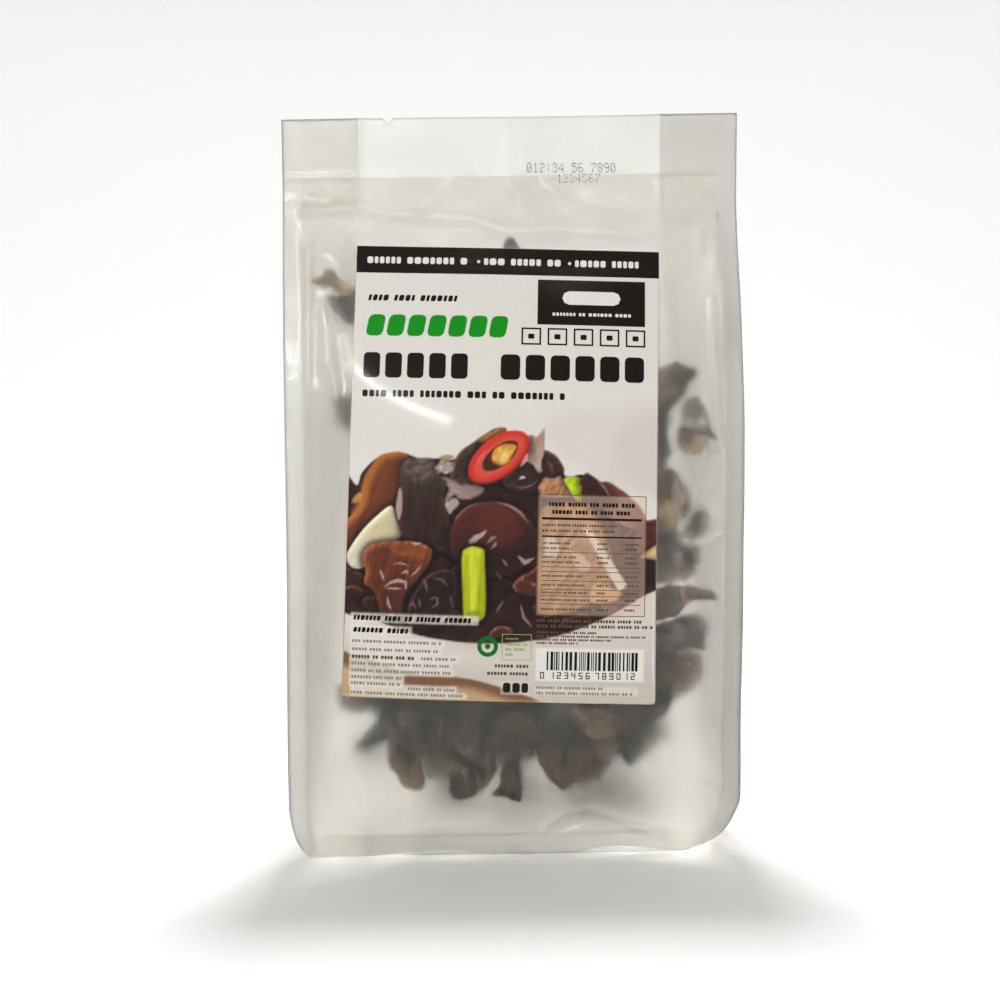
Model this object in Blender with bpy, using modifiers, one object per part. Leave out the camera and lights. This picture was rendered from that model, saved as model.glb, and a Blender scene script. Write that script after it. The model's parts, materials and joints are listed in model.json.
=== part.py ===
"""Packet of dried wood ear mushroom.

A frosted film packet that stands on its flat base: front and back panels, two
folded side gussets and a base panel, welded in fins along the four upright
corners, in a band across the top and in a hem round the base.  A paper label
is stuck on the front.  Fifty separate dried wood ears lie loose inside.

Frame: +Z up, the front faces -Y, the origin is the middle of the base on the
surface that the packet stands on.  All lengths below are millimetres and are
turned into metres where the vertices are made.
"""
import math

import bpy
import bmesh
import numpy as np
from mathutils import Matrix, Vector
from mathutils.kdtree import KDTree

MM = 0.001

# ------------------------------------------------------------------ film sizes
BAG_HEIGHT = 240.5        # floor to the cut top edge
SEAL_Z = 221.0            # lower edge of the weld across the top
FIN_W = 6.0               # width of the welded fin along each upright corner
FOLD_X = 50.3             # inner fold of a gusset where the top is pressed flat
GUSSET_FREE = 19.3        # half of a gusset's width between its two fins
FILM_T = 0.2              # film thickness
LAYER = 0.5               # pitch of film layers that lie on each other
HEM_H = 7.0               # height of the welded hem round the base
BASE_HALF = 19.5          # half depth of the base panel
BASE_LEFT, BASE_RIGHT = -62.4, 48.2   # ends of the base panel
NOTCH_X, NOTCH_W, NOTCH_H = -40.0, 3.2, 2.4   # V tear notch in the top edge

# outline of the front, as (height, distance of the cut edge from the middle)
OUTLINE_LEFT = ((0.0, 66.7), (2.6, 69.2), (6.7, 71.4), (16.0, 73.2), (50.0, 73.5), (82.0, 73.4),
                (114.0, 73.7), (170.0, 74.7), (202.0, 75.2), (222.0, 75.3), (240.5, 75.5))
OUTLINE_RIGHT = ((0.0, 51.0), (1.5, 55.4), (3.6, 60.8), (6.4, 64.7), (11.8, 68.4), (17.4, 70.6),
                 (42.0, 71.3), (74.0, 72.7), (93.0, 73.3), (123.0, 74.5), (139.0, 75.0),
                 (178.0, 75.2), (205.0, 75.0), (220.0, 75.3), (240.5, 75.8))
# half depth of the packet at its upright corners and at its middle line
CORNER_DEPTH = ((0.0, 20.0), (8.0, 20.0), (20.0, 19.7), (50.0, 18.6), (80.0, 17.0), (110.0, 15.0),
                (140.0, 12.0), (170.0, 8.0), (198.0, 2.9), (212.0, 1.1), (221.0, 0.75), (240.5, 0.75))
MIDDLE_DEPTH = ((0.0, 20.0), (8.0, 20.4), (20.0, 23.6), (50.0, 26.0), (80.0, 25.2), (110.0, 22.6),
                (140.0, 18.4), (170.0, 12.4), (198.0, 5.2), (212.0, 1.9), (221.0, 0.75), (240.5, 0.75))
# lower edge of the front hem, as (distance from the middle, height off the floor)
HEM_EDGE = ((-67.0, 0.1), (-51.0, 0.2), (-38.0, 1.1), (-26.0, 1.9), (-18.0, 1.8), (-12.0, 0.3),
            (-8.0, 0.15), (-4.0, 0.9), (10.0, 1.1), (18.0, 0.7), (25.0, 2.2), (32.0, 2.6),
            (41.0, 1.8), (48.0, 0.9), (51.0, 0.6))

# ----------------------------------------------------------------- label sizes
LABEL_W, LABEL_H = 100.0, 148.0
LABEL_X, LABEL_Z = -3.5, 122.8      # middle of the label
LABEL_TILT = math.radians(2.1)      # stuck on slightly crooked, clockwise
LABEL_T = 0.2

# ------------------------------------------------------------- wood ear sizes
EAR_T = 1.2               # thickness of a dried ear
EAR_COUNT = 50
EAR_GAP = 2.7             # least distance between sample points of two ears
FILM_GAP = 1.3            # least distance from an ear's middle sheet to the film


# ------------------------------------------------------------------ interpolation
def table(rows, v):
    """Smooth curve through the rows (monotone cubic), flat beyond its ends."""
    xs = [r[0] for r in rows]
    ys = [r[1] for r in rows]
    if v <= xs[0]:
        return ys[0]
    if v >= xs[-1]:
        return ys[-1]
    n = len(xs)
    i = 0
    while v > xs[i + 1]:
        i += 1
    h = [xs[k + 1] - xs[k] for k in range(n - 1)]
    d = [(ys[k + 1] - ys[k]) / h[k] for k in range(n - 1)]

    def slope(k):
        if k == 0:
            return d[0]
        if k == n - 1:
            return d[-1]
        if d[k - 1] * d[k] <= 0.0:
            return 0.0
        w1 = 2.0 * h[k] + h[k - 1]
        w2 = h[k] + 2.0 * h[k - 1]
        return (w1 + w2) / (w1 / d[k - 1] + w2 / d[k])

    t = (v - xs[i]) / h[i]
    m0, m1 = slope(i) * h[i], slope(i + 1) * h[i]
    return ((2 * t ** 3 - 3 * t ** 2 + 1) * ys[i] + (t ** 3 - 2 * t ** 2 + t) * m0
            + (-2 * t ** 3 + 3 * t ** 2) * ys[i + 1] + (t ** 3 - t ** 2) * m1)


def smooth(a, b, v):
    t = min(1.0, max(0.0, (v - a) / (b - a)))
    return t * t * (3.0 - 2.0 * t)


# ------------------------------------------------------------------ film surfaces
def out_left(z):
    return table(OUTLINE_LEFT, z)


def out_right(z):
    return table(OUTLINE_RIGHT, z)


def corner_depth(z):
    return table(CORNER_DEPTH, z)


def inner_edge(side, z):
    """Distance from the middle to where a fin ends and the packet opens."""
    out = out_left(z) if side < 0 else out_right(z)
    return out - FIN_W + 1.5 * (1.0 - smooth(2.0, 16.0, z))


def depth_at(x, z):
    """Half depth of the packet at x: how far the film stands from the middle plane."""
    side = -1 if x < 0 else 1
    inner = inner_edge(side, z)
    s = min(1.0, abs(x) / inner)
    d = corner_depth(z)
    b = table(MIDDLE_DEPTH, z) - d
    flat = 0.5 * (1.0 - smooth(FOLD_X - 3.0, FOLD_X - 0.6, abs(x))) * smooth(205.0, 221.0, z)
    return d + b * (1.0 - s ** 2.4) - flat


def gusset_fold(side, z):
    """Distance from the middle to the inner fold of a gusset."""
    reach = max(0.25, corner_depth(z) - LAYER)
    inner = inner_edge(side, z)
    return inner - math.sqrt(max(0.0, GUSSET_FREE ** 2 - reach ** 2)) * smooth(-12.0, 26.0, z)


def gusset_x(side, y, z):
    """Distance from the middle of a gusset's film at depth y."""
    reach = max(0.25, corner_depth(z) - LAYER)
    t = 1.0 - min(1.0, abs(y) / reach)
    inner = inner_edge(side, z)
    bow = 1.6 * smooth(215.0, 150.0, z) * math.sin(math.pi * t)
    return inner + (gusset_fold(side, z) - inner) * t + bow


def hem(x):
    return table(HEM_EDGE, x)


# ------------------------------------------------------------------ scene helpers
for old in list(bpy.data.objects):
    bpy.data.objects.remove(old, do_unlink=True)

parts = bpy.data.collections.new("wood_ear_packet")
cutters = bpy.data.collections.new("cutters")
bpy.context.scene.collection.children.link(parts)
bpy.context.scene.collection.children.link(cutters)


def material(name, color, roughness, transmission=0.0):
    mat = bpy.data.materials.new(name)
    mat.use_nodes = True
    shader = mat.node_tree.nodes["Principled BSDF"]
    shader.inputs["Base Color"].default_value = (color[0], color[1], color[2], 1.0)
    shader.inputs["Roughness"].default_value = roughness
    shader.inputs["Metallic"].default_value = 0.0
    shader.inputs["Transmission Weight"].default_value = transmission
    mat.diffuse_color = (color[0], color[1], color[2], 1.0)
    return mat


def sheet_object(name, grid, thickness, mat, offset=0.0):
    """A grid of points made an open surface, with thickness from Solidify."""
    rows, cols = len(grid), len(grid[0])
    verts = [(p[0] * MM, p[1] * MM, p[2] * MM) for row in grid for p in row]
    faces = []
    for r in range(rows - 1):
        for c in range(cols - 1):
            a = r * cols + c
            faces.append((a, a + 1, a + cols + 1, a + cols))
    mesh = bpy.data.meshes.new(name)
    mesh.from_pydata(verts, [], faces)
    mesh.update()
    obj = bpy.data.objects.new(name, mesh)
    parts.objects.link(obj)
    mesh.materials.append(mat)
    mod = obj.modifiers.new("thickness", "SOLIDIFY")
    mod.thickness = thickness * MM
    mod.offset = offset
    mod.use_even_offset = False
    return obj


film_mat = {}
for film_name, tint in (("front_panel", 0.80), ("back_panel", 0.78), ("left_gusset", 0.79),
                        ("right_gusset", 0.77), ("base_panel", 0.76)):
    film_mat[film_name] = material(film_name + "_film", (tint, tint * 0.985, tint * 0.955), 0.5, 0.85)

# ------------------------------------------------------------------ front and back
ROWS = (0.0, 3.4, 7.2, 12.0, 20.0, 32.0, 46.0, 60.0, 75.0, 90.0, 105.0, 120.0, 135.0, 150.0,
        165.0, 179.0, 191.0, 202.0, 212.0, 221.0, BAG_HEIGHT)
INNER_COLS = (FOLD_X - 0.6, FOLD_X - 3.0, 32.0, 16.0)


def panel_columns(z):
    """x of each column at height z, from the left cut edge to the right one."""
    lo, hi = out_left(z), out_right(z)
    li, ri = inner_edge(-1, z), inner_edge(1, z)
    left = [-lo, -li, -0.5 * (li + (FOLD_X - 0.6) * lo / 75.5)] + [-c * lo / 75.5 for c in INNER_COLS]
    right = [hi, ri, 0.5 * (ri + (FOLD_X - 0.6) * hi / 75.5)] + [c * hi / 75.5 for c in INNER_COLS]
    return left + [0.0] + right[::-1]


def panel(name, face):
    """face -1 is the front, +1 the back."""
    grid = []
    for zr in ROWS:
        row = []
        for x in panel_columns(zr):
            lift = hem(x if face < 0 else x * 0.9 - 4.0) * (1.0 - smooth(0.0, 12.0, zr))
            row.append((x, face * depth_at(x, zr), zr + lift))
        grid.append(row)
    obj = sheet_object(name, grid, FILM_T, film_mat[name])
    if face > 0:
        obj.data.flip_normals()
    return obj


front = panel("front_panel", -1)
back = panel("back_panel", 1)

# V tear notch: a three-sided prism, point down, through both panels
notch_mesh = bpy.data.meshes.new("notch")
bm = bmesh.new()
bmesh.ops.create_cone(bm, cap_ends=True, segments=3, radius1=1.0, radius2=1.0, depth=2.0)
for v in bm.verts:
    # prism axis along Y; its three corners set the width and depth of the V
    ang = math.atan2(v.co.y, v.co.x)
    k = round((ang - math.pi / 2) / (2 * math.pi / 3)) % 3
    spot = ((0.0, -NOTCH_H), (NOTCH_W, NOTCH_H), (-NOTCH_W, NOTCH_H))[k]
    v.co = Vector((spot[0] * MM, v.co.z * 4.0 * MM, spot[1] * MM))
bmesh.ops.recalc_face_normals(bm, faces=bm.faces)
bm.to_mesh(notch_mesh)
bm.free()
notch = bpy.data.objects.new("notch_cutter", notch_mesh)
notch.location = (NOTCH_X * MM, 0.0, BAG_HEIGHT * MM)
notch.hide_render = True
notch.display_type = 'WIRE'
cutters.objects.link(notch)
for obj in (front, back):
    cut = obj.modifiers.new("tear_notch", "BOOLEAN")
    cut.operation = 'DIFFERENCE'
    cut.object = notch
    cut.solver = 'EXACT'

# ------------------------------------------------------------------ gussets
GUSSET_ROWS = (0.8, 3.4, 7.2, 12.0, 20.0, 34.0, 50.0, 68.0, 86.0, 104.0, 122.0, 140.0, 157.0,
               174.0, 188.0, 200.0, 211.0, 221.0, BAG_HEIGHT - 0.3)


def gusset(name, side):
    grid = []
    for z in GUSSET_ROWS:
        reach = max(0.25, corner_depth(z) - LAYER)
        out = (out_left(z) if side < 0 else out_right(z)) - 0.3
        half = []
        for t in (0.0, 0.34, 0.68, 1.0):
            y = reach * (1.0 - t)
            y = max(y, 0.25)
            half.append((gusset_x(side, y if t < 1.0 else 0.0, z), y))
        half[3] = (gusset_fold(side, z), 0.25)
        front_half = [(out, -reach)] + [(p[0], -p[1]) for p in half]
        back_half = [(p[0], p[1]) for p in half[::-1]] + [(out, reach)]
        grid.append([(side * p[0], p[1], z) for p in front_half + back_half])
    return sheet_object(name, grid, FILM_T, film_mat[name])


left_gusset = gusset("left_gusset", -1)
right_gusset = gusset("right_gusset", 1)
left_gusset.data.flip_normals()

# ------------------------------------------------------------------ base panel
section = ((-BASE_HALF, HEM_H), (-BASE_HALF, 1.4), (-BASE_HALF + 1.2, FILM_T / 2), (-8.0, FILM_T / 2),
           (8.0, FILM_T / 2), (BASE_HALF - 1.2, FILM_T / 2), (BASE_HALF, 1.4), (BASE_HALF, HEM_H))
base_grid = []
for i in range(9):
    x = BASE_LEFT + (BASE_RIGHT - BASE_LEFT) * i / 8.0
    base_grid.append([(x, p[0], p[1]) for p in section])
base = sheet_object("base_panel", base_grid, FILM_T, film_mat["base_panel"])

# ------------------------------------------------------------------ label


def label_point(a, b, lift):
    """a, b run over the label in millimetres from its middle; the label follows the film."""
    ca, sa = math.cos(LABEL_TILT), math.sin(LABEL_TILT)
    x = LABEL_X + (a * ca + b * sa) * 0.993
    z = LABEL_Z + (-a * sa + b * ca) * 0.987
    return (x, -depth_at(x, z) - lift, z)


label_grid = []
for j in range(11):
    b = -LABEL_H / 2 + LABEL_H * j / 10.0
    label_grid.append([label_point(-LABEL_W / 2 + LABEL_W * i / 8.0, b, 0.55) for i in range(9)])
label = sheet_object("label", label_grid, LABEL_T, material("label_paper", (0.78, 0.76, 0.72), 0.3))

# ------------------------------------------------------------------ wood ears


def ear_sheet(seed, size, curl, rings, spokes):
    """Middle sheet of one dried ear, about its own middle: centre point, then rings.

    A lobed disc, cupped, rippled at the rim and rolled about one axis.
    """
    rng = np.random.RandomState(seed)
    p = rng.uniform(0.0, 2.0 * math.pi, 8)
    lobe = rng.uniform(0.10, 0.20, 3)
    stretch = rng.uniform(0.78, 1.0)
    cup = rng.uniform(0.10, 0.30)
    ripple = rng.uniform(0.05, 0.11)
    waves = int(rng.randint(2, 4))
    axis = rng.uniform(0.0, math.pi)
    pts = [(0.0, 0.0)]
    rr = [0.0]
    th = [0.0]
    for i in range(1, rings + 1):
        r = i / float(rings)
        for j in range(spokes):
            a = 2.0 * math.pi * j / spokes
            reach = size * (1.0 + lobe[0] * math.cos(a - p[0]) + lobe[1] * 0.8 * math.cos(2 * a - p[1])
                            + lobe[2] * 0.5 * math.cos(3 * a - p[2]))
            pts.append((reach * r * math.cos(a), reach * r * math.sin(a) * stretch))
            rr.append(r)
            th.append(a)
    pts = np.array(pts)
    rr = np.array(rr)
    th = np.array(th)
    h = size * (cup * rr ** 2 + ripple * rr ** 2 * np.sin(waves * th + p[3]))
    q = pts[:, 0] * math.cos(axis) + pts[:, 1] * math.sin(axis)
    w = -pts[:, 0] * math.sin(axis) + pts[:, 1] * math.cos(axis)
    k = curl / size
    q2 = np.sin(k * q) / k * (1.0 - 0.0 * q)
    h2 = h + (1.0 - np.cos(k * q)) / k
    out = np.stack([q2 * math.cos(axis) - w * math.sin(axis),
                    q2 * math.sin(axis) + w * math.cos(axis), h2], axis=1)
    out[:, 2] -= out[:, 2].mean()
    return out


def rotation(rx, ry, rz):
    cx, sx, cy, sy, cz, sz = (math.cos(rx), math.sin(rx), math.cos(ry), math.sin(ry),
                              math.cos(rz), math.sin(rz))
    mx = np.array([[1, 0, 0], [0, cx, -sx], [0, sx, cx]])
    my = np.array([[cy, 0, sy], [0, 1, 0], [-sy, 0, cy]])
    mz = np.array([[cz, -sz, 0], [sz, cz, 0], [0, 0, 1]])
    return mz @ my @ mx


def film_room(pts):
    """Least room between the points and the film: negative where one pokes through."""
    room = 1e9
    for x, y, z in pts:
        if z > 206.0 or z < 0.5:
            return -9.0
        side = -1 if x < 0 else 1
        deep = depth_at(x, z)
        room = min(room, y + deep, deep - y, z - 0.6)
        reach = max(0.25, corner_depth(z) - LAYER)
        if abs(y) < reach:
            room = min(room, (gusset_x(side, y, z) - abs(x)) * 0.8 - 0.5)
        else:
            room = min(room, inner_edge(side, z) - abs(x))
        if z < HEM_H + 1.0:
            room = min(room, BASE_HALF - 0.3 - abs(y), x - BASE_LEFT, BASE_RIGHT - x)
    return room


class Pile:
    """The ears laid so far, as sample points, so that no two touch."""

    def __init__(self):
        self.points = []
        self.tree = None

    def clear_of(self, pts, gap):
        if self.tree is None:
            return True
        for p in pts:
            if self.tree.find(p)[2] < gap:
                return False
        return True

    def add(self, pts):
        self.points.extend([tuple(p) for p in pts])
        self.tree = KDTree(len(self.points))
        for i, p in enumerate(self.points):
            self.tree.insert(p, i)
        self.tree.balance()


# ears that lie against the front film or show at its edges:
# (x, height, half size, curl, turn about X, Y, Z in degrees, seed)
SHOWN = (
    (-55.5, 183.0, 9.0, 0.9, 90, 38, 0, 11), (1.5, 193.0, 8.0, 1.1, 60, 5, 80, 12),
    (-47.5, 146.0, 9.0, 0.8, 84, -10, 60, 13), (54.5, 160.0, 8.5, 0.9, 90, 20, -12, 14),
    (57.5, 140.0, 10.0, 0.8, 90, -30, -14, 15), (58.5, 112.0, 8.0, 1.0, 90, 40, -20, 16),
    (56.5, 90.0, 8.5, 1.1, 75, 8, -30, 17), (54.5, 72.0, 9.0, 0.8, 90, 65, -10, 18),
    (50.5, 57.5, 8.5, 0.9, 90, 10, -12, 19), (-46.0, 42.0, 9.5, 0.8, 90, 20, 10, 20),
    (-33.0, 33.5, 9.5, 0.9, 84, -35, 4, 21), (-14.5, 30.0, 10.0, 0.9, 90, 12, -4, 22),
    (4.0, 33.0, 9.0, 0.8, 96, 70, 6, 23), (22.5, 31.0, 10.5, 0.8, 90, -14, 0, 24),
    (41.0, 37.0, 9.0, 1.0, 88, 34, -8, 25),
)


def build_pile():
    ears = []
    pile = Pile()
    for x, z, size, curl, rx, ry, rz, seed in SHOWN:
        sample = ear_sheet(seed, size, curl, 4, 14)
        turn = rotation(math.radians(rx), math.radians(ry), math.radians(rz))
        world = sample @ turn.T
        # slide the ear forward until it all but touches the front film
        shift = max(-depth_at(x + p[0], z + p[2]) + FILM_GAP - p[1] for p in world)
        for step in range(60):
            place = np.array([x, shift + 0.25 * step, z])
            spot = world + place
            if film_room(spot) >= FILM_GAP * 0.9 and pile.clear_of(spot, EAR_GAP):
                break
        else:
            # no room right there: nudge it towards the middle until it fits
            for step in range(200):
                place = np.array([x * (1.0 - 0.004 * step), shift + 0.1 * step, z])
                spot = world + place
                if film_room(spot) >= FILM_GAP * 0.9 and pile.clear_of(spot, EAR_GAP):
                    break
            else:
                continue
        pile.add(spot)
        ears.append((seed, size, curl, turn, place))
    rng = np.random.RandomState(4)
    tries = 0
    while len(ears) < EAR_COUNT and tries < 6000:
        tries += 1
        z = rng.uniform(9.0, 176.0)
        size = rng.uniform(7.6, 10.6)
        curl = rng.uniform(0.7, 1.2)
        x = rng.uniform(-58.0, 58.0)
        y = rng.uniform(-1.0, 1.0) * (corner_depth(z) + 3.0)
        # the low front corner of the packet stays empty, and so does its left edge
        if y < 4.0 and z < 30.0:
            continue
        if y < 0.0 and x < -50.0:
            continue
        seed = 100 + len(ears)
        turn = rotation(rng.uniform(0.0, math.pi), rng.uniform(-0.9, 0.9), rng.uniform(0.0, math.pi))
        sample = ear_sheet(seed, size, curl, 4, 14)
        spot = sample @ turn.T + np.array([x, y, z])
        if not pile.clear_of(spot[::5], EAR_GAP):
            continue
        if film_room(spot) < FILM_GAP or not pile.clear_of(spot, EAR_GAP):
            continue
        pile.add(spot)
        ears.append((seed, size, curl, turn, np.array([x, y, z])))
    return ears


def ear_object(number, seed, size, curl, turn, place):
    rings, spokes = 3, 8
    pts = ear_sheet(seed, size, curl, rings, spokes) @ turn.T + place
    faces = []
    for j in range(spokes):
        n = (j + 1) % spokes
        faces.append((0, 1 + j, 1 + n))
        for i in range(rings - 1):
            a, b = 1 + i * spokes, 1 + (i + 1) * spokes
            faces.append((a + j, b + j, b + n, a + n))
    name = "wood_ear_%02d" % number
    mesh = bpy.data.meshes.new(name)
    mesh.from_pydata([tuple(p * MM) for p in pts], [], faces)
    mesh.update()
    obj = bpy.data.objects.new(name, mesh)
    parts.objects.link(obj)
    shade = 0.045 + 0.03 * ((number * 7) % 5) / 4.0
    mesh.materials.append(material(name + "_skin", (shade * 1.25, shade, shade * 0.8), 0.6))
    mod = obj.modifiers.new("thickness", "SOLIDIFY")
    mod.thickness = EAR_T * MM
    mod.offset = 0.0
    mod.use_even_offset = False
    mesh.shade_smooth()
    return obj


for index, ear in enumerate(build_pile()):
    ear_object(index + 1, *ear)

for obj in (front, back, left_gusset, right_gusset, base, label):
    obj.data.shade_smooth()
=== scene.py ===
"""Looks of the packet of dried wood ear mushroom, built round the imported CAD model.

Film panels, label, printed stamp and wood ears are modelled here as fine meshes in the place of
their CAD solids.  Lengths in the geometry functions are millimetres, as in the part's own source.
"""
import json
import math

import bpy
import numpy as np
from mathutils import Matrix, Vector, noise
from mathutils.geometry import delaunay_2d_cdt
from mathutils.kdtree import KDTree

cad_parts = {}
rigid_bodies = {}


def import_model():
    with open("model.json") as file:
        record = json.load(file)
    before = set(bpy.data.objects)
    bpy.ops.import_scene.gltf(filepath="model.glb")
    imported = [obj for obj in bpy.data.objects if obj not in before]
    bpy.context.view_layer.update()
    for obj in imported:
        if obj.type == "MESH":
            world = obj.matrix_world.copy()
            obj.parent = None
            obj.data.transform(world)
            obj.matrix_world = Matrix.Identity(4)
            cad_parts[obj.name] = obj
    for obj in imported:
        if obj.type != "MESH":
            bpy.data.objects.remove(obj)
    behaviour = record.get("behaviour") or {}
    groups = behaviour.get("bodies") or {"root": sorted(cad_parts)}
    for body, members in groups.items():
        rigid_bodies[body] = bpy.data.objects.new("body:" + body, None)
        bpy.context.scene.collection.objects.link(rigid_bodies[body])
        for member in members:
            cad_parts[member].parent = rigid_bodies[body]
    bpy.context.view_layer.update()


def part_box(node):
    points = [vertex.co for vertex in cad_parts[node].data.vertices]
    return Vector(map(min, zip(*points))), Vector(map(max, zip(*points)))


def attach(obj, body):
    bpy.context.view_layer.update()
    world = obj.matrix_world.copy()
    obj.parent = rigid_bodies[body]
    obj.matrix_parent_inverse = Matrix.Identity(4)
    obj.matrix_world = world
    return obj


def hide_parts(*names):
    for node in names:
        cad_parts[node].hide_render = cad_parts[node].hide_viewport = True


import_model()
MM = 0.001

# ---------------------------------------------------------------- sizes, as in the CAD source
BAG_HEIGHT = 240.5
SEAL_Z = 221.0
FIN_W = 6.0
FOLD_X = 50.3
GUSSET_FREE = 19.3
LAYER = 0.5
HEM_H = 7.0
BASE_HALF = 19.5
BASE_LEFT, BASE_RIGHT = -62.4, 48.2
NOTCH_X, NOTCH_W, NOTCH_H = -40.0, 3.2, 2.4
OUTLINE_LEFT = ((0.0, 66.7), (2.6, 69.2), (6.7, 71.4), (16.0, 73.2), (50.0, 73.5), (82.0, 73.4),
                (114.0, 73.7), (170.0, 74.7), (202.0, 75.2), (222.0, 75.3), (240.5, 75.5))
OUTLINE_RIGHT = ((0.0, 51.0), (1.5, 55.4), (3.6, 60.8), (6.4, 64.7), (11.8, 68.4), (17.4, 70.6),
                 (42.0, 71.3), (74.0, 72.7), (93.0, 73.3), (123.0, 74.5), (139.0, 75.0),
                 (178.0, 75.2), (205.0, 75.0), (220.0, 75.3), (240.5, 75.8))
CORNER_DEPTH = ((0.0, 20.0), (8.0, 20.0), (20.0, 19.7), (50.0, 18.6), (80.0, 17.0), (110.0, 15.0),
                (140.0, 12.0), (170.0, 8.0), (198.0, 2.9), (212.0, 1.1), (221.0, 0.75), (240.5, 0.75))
MIDDLE_DEPTH = ((0.0, 20.0), (8.0, 20.4), (20.0, 23.6), (50.0, 26.0), (80.0, 25.2), (110.0, 22.6),
                (140.0, 18.4), (170.0, 12.4), (198.0, 5.2), (212.0, 1.9), (221.0, 0.75), (240.5, 0.75))
HEM_EDGE = ((-67.0, 0.1), (-51.0, 0.2), (-38.0, 1.1), (-26.0, 1.9), (-18.0, 1.8), (-12.0, 0.3),
            (-8.0, 0.15), (-4.0, 0.9), (10.0, 1.1), (18.0, 0.7), (25.0, 2.2), (32.0, 2.6),
            (41.0, 1.8), (48.0, 0.9), (51.0, 0.6))
LABEL_W, LABEL_H = 100.0, 148.0
LABEL_X, LABEL_Z = -3.5, 122.8
LABEL_TILT = math.radians(2.1)
EAR_T = 1.2
EAR_COUNT = 50
EAR_GAP = 2.7
FILM_GAP = 1.3
FILM_T = 0.12             # the visible film is nearer its real thickness than the CAD solid


def table(rows, v):
    """Smooth curve through the rows (monotone cubic), flat beyond its ends."""
    xs = [r[0] for r in rows]
    ys = [r[1] for r in rows]
    if v <= xs[0]:
        return ys[0]
    if v >= xs[-1]:
        return ys[-1]
    n = len(xs)
    i = 0
    while v > xs[i + 1]:
        i += 1
    h = [xs[k + 1] - xs[k] for k in range(n - 1)]
    d = [(ys[k + 1] - ys[k]) / h[k] for k in range(n - 1)]

    def slope(k):
        if k == 0:
            return d[0]
        if k == n - 1:
            return d[-1]
        if d[k - 1] * d[k] <= 0.0:
            return 0.0
        w1 = 2.0 * h[k] + h[k - 1]
        w2 = h[k] + 2.0 * h[k - 1]
        return (w1 + w2) / (w1 / d[k - 1] + w2 / d[k])

    t = (v - xs[i]) / h[i]
    m0, m1 = slope(i) * h[i], slope(i + 1) * h[i]
    return ((2 * t ** 3 - 3 * t ** 2 + 1) * ys[i] + (t ** 3 - 2 * t ** 2 + t) * m0
            + (-2 * t ** 3 + 3 * t ** 2) * ys[i + 1] + (t ** 3 - t ** 2) * m1)


def smooth(a, b, v):
    t = min(1.0, max(0.0, (v - a) / (b - a)))
    return t * t * (3.0 - 2.0 * t)


def out_left(z):
    return table(OUTLINE_LEFT, z)


def out_right(z):
    return table(OUTLINE_RIGHT, z)


def corner_depth(z):
    return table(CORNER_DEPTH, z)


def inner_edge(side, z):
    out = out_left(z) if side < 0 else out_right(z)
    return out - FIN_W + 1.5 * (1.0 - smooth(2.0, 16.0, z))


def depth_at(x, z):
    side = -1 if x < 0 else 1
    inner = inner_edge(side, z)
    s = min(1.0, abs(x) / inner)
    d = corner_depth(z)
    b = table(MIDDLE_DEPTH, z) - d
    flat = 0.5 * (1.0 - smooth(FOLD_X - 3.0, FOLD_X - 0.6, abs(x))) * smooth(205.0, 221.0, z)
    return d + b * (1.0 - s ** 2.4) - flat


def gusset_fold(side, z):
    reach = max(0.25, corner_depth(z) - LAYER)
    inner = inner_edge(side, z)
    return inner - math.sqrt(max(0.0, GUSSET_FREE ** 2 - reach ** 2)) * smooth(-12.0, 26.0, z)


def gusset_x(side, y, z):
    reach = max(0.25, corner_depth(z) - LAYER)
    t = 1.0 - min(1.0, abs(y) / reach)
    inner = inner_edge(side, z)
    bow = 1.6 * smooth(215.0, 150.0, z) * math.sin(math.pi * t)
    return inner + (gusset_fold(side, z) - inner) * t + bow


# ---------------------------------------------------------------- the same, for whole arrays
ZS = np.linspace(0.0, BAG_HEIGHT, 1204)
T_LEFT = np.array([out_left(z) for z in ZS])
T_RIGHT = np.array([out_right(z) for z in ZS])
T_CORNER = np.array([corner_depth(z) for z in ZS])
T_MIDDLE = np.array([table(MIDDLE_DEPTH, z) for z in ZS])
XS = np.linspace(-80.0, 80.0, 800)
T_HEM = np.array([table(HEM_EDGE, x) for x in XS])


def vstep(a, b, v):
    t = np.clip((v - a) / (b - a), 0.0, 1.0)
    return t * t * (3.0 - 2.0 * t)


def v_inner(x, z):
    out = np.where(x < 0, np.interp(z, ZS, T_LEFT), np.interp(z, ZS, T_RIGHT))
    return out - FIN_W + 1.5 * (1.0 - vstep(2.0, 16.0, z))


def v_depth(x, z):
    inner = v_inner(x, z)
    s = np.minimum(1.0, np.abs(x) / inner)
    d = np.interp(z, ZS, T_CORNER)
    b = np.interp(z, ZS, T_MIDDLE) - d
    flat = 0.5 * (1.0 - vstep(FOLD_X - 3.0, FOLD_X - 0.6, np.abs(x))) * vstep(205.0, 221.0, z)
    return d + b * (1.0 - s ** 2.4) - flat


def v_hem(x):
    return np.interp(x, XS, T_HEM)


def value_noise(x, z, pitch, seed):
    """Smooth seeded noise over the plane, about -1 to 1, features of the given pitch."""
    rng = np.random.RandomState(seed)
    out = np.zeros_like(x, dtype=float)
    total = 0.0
    for k in range(7):
        a = rng.uniform(0, 2 * math.pi)
        f = 2 * math.pi / pitch * rng.uniform(0.55, 1.35)
        p = rng.uniform(0, 2 * math.pi)
        bend = rng.uniform(0.4, 1.1)
        q = rng.uniform(0, 2 * math.pi)
        u = x * math.cos(a) + z * math.sin(a)
        w = -x * math.sin(a) + z * math.cos(a)
        out += np.sin(u * f + p + bend * np.sin(w * f * 0.6 + q))
        total += 0.5
    return out / total * 0.55


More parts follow.
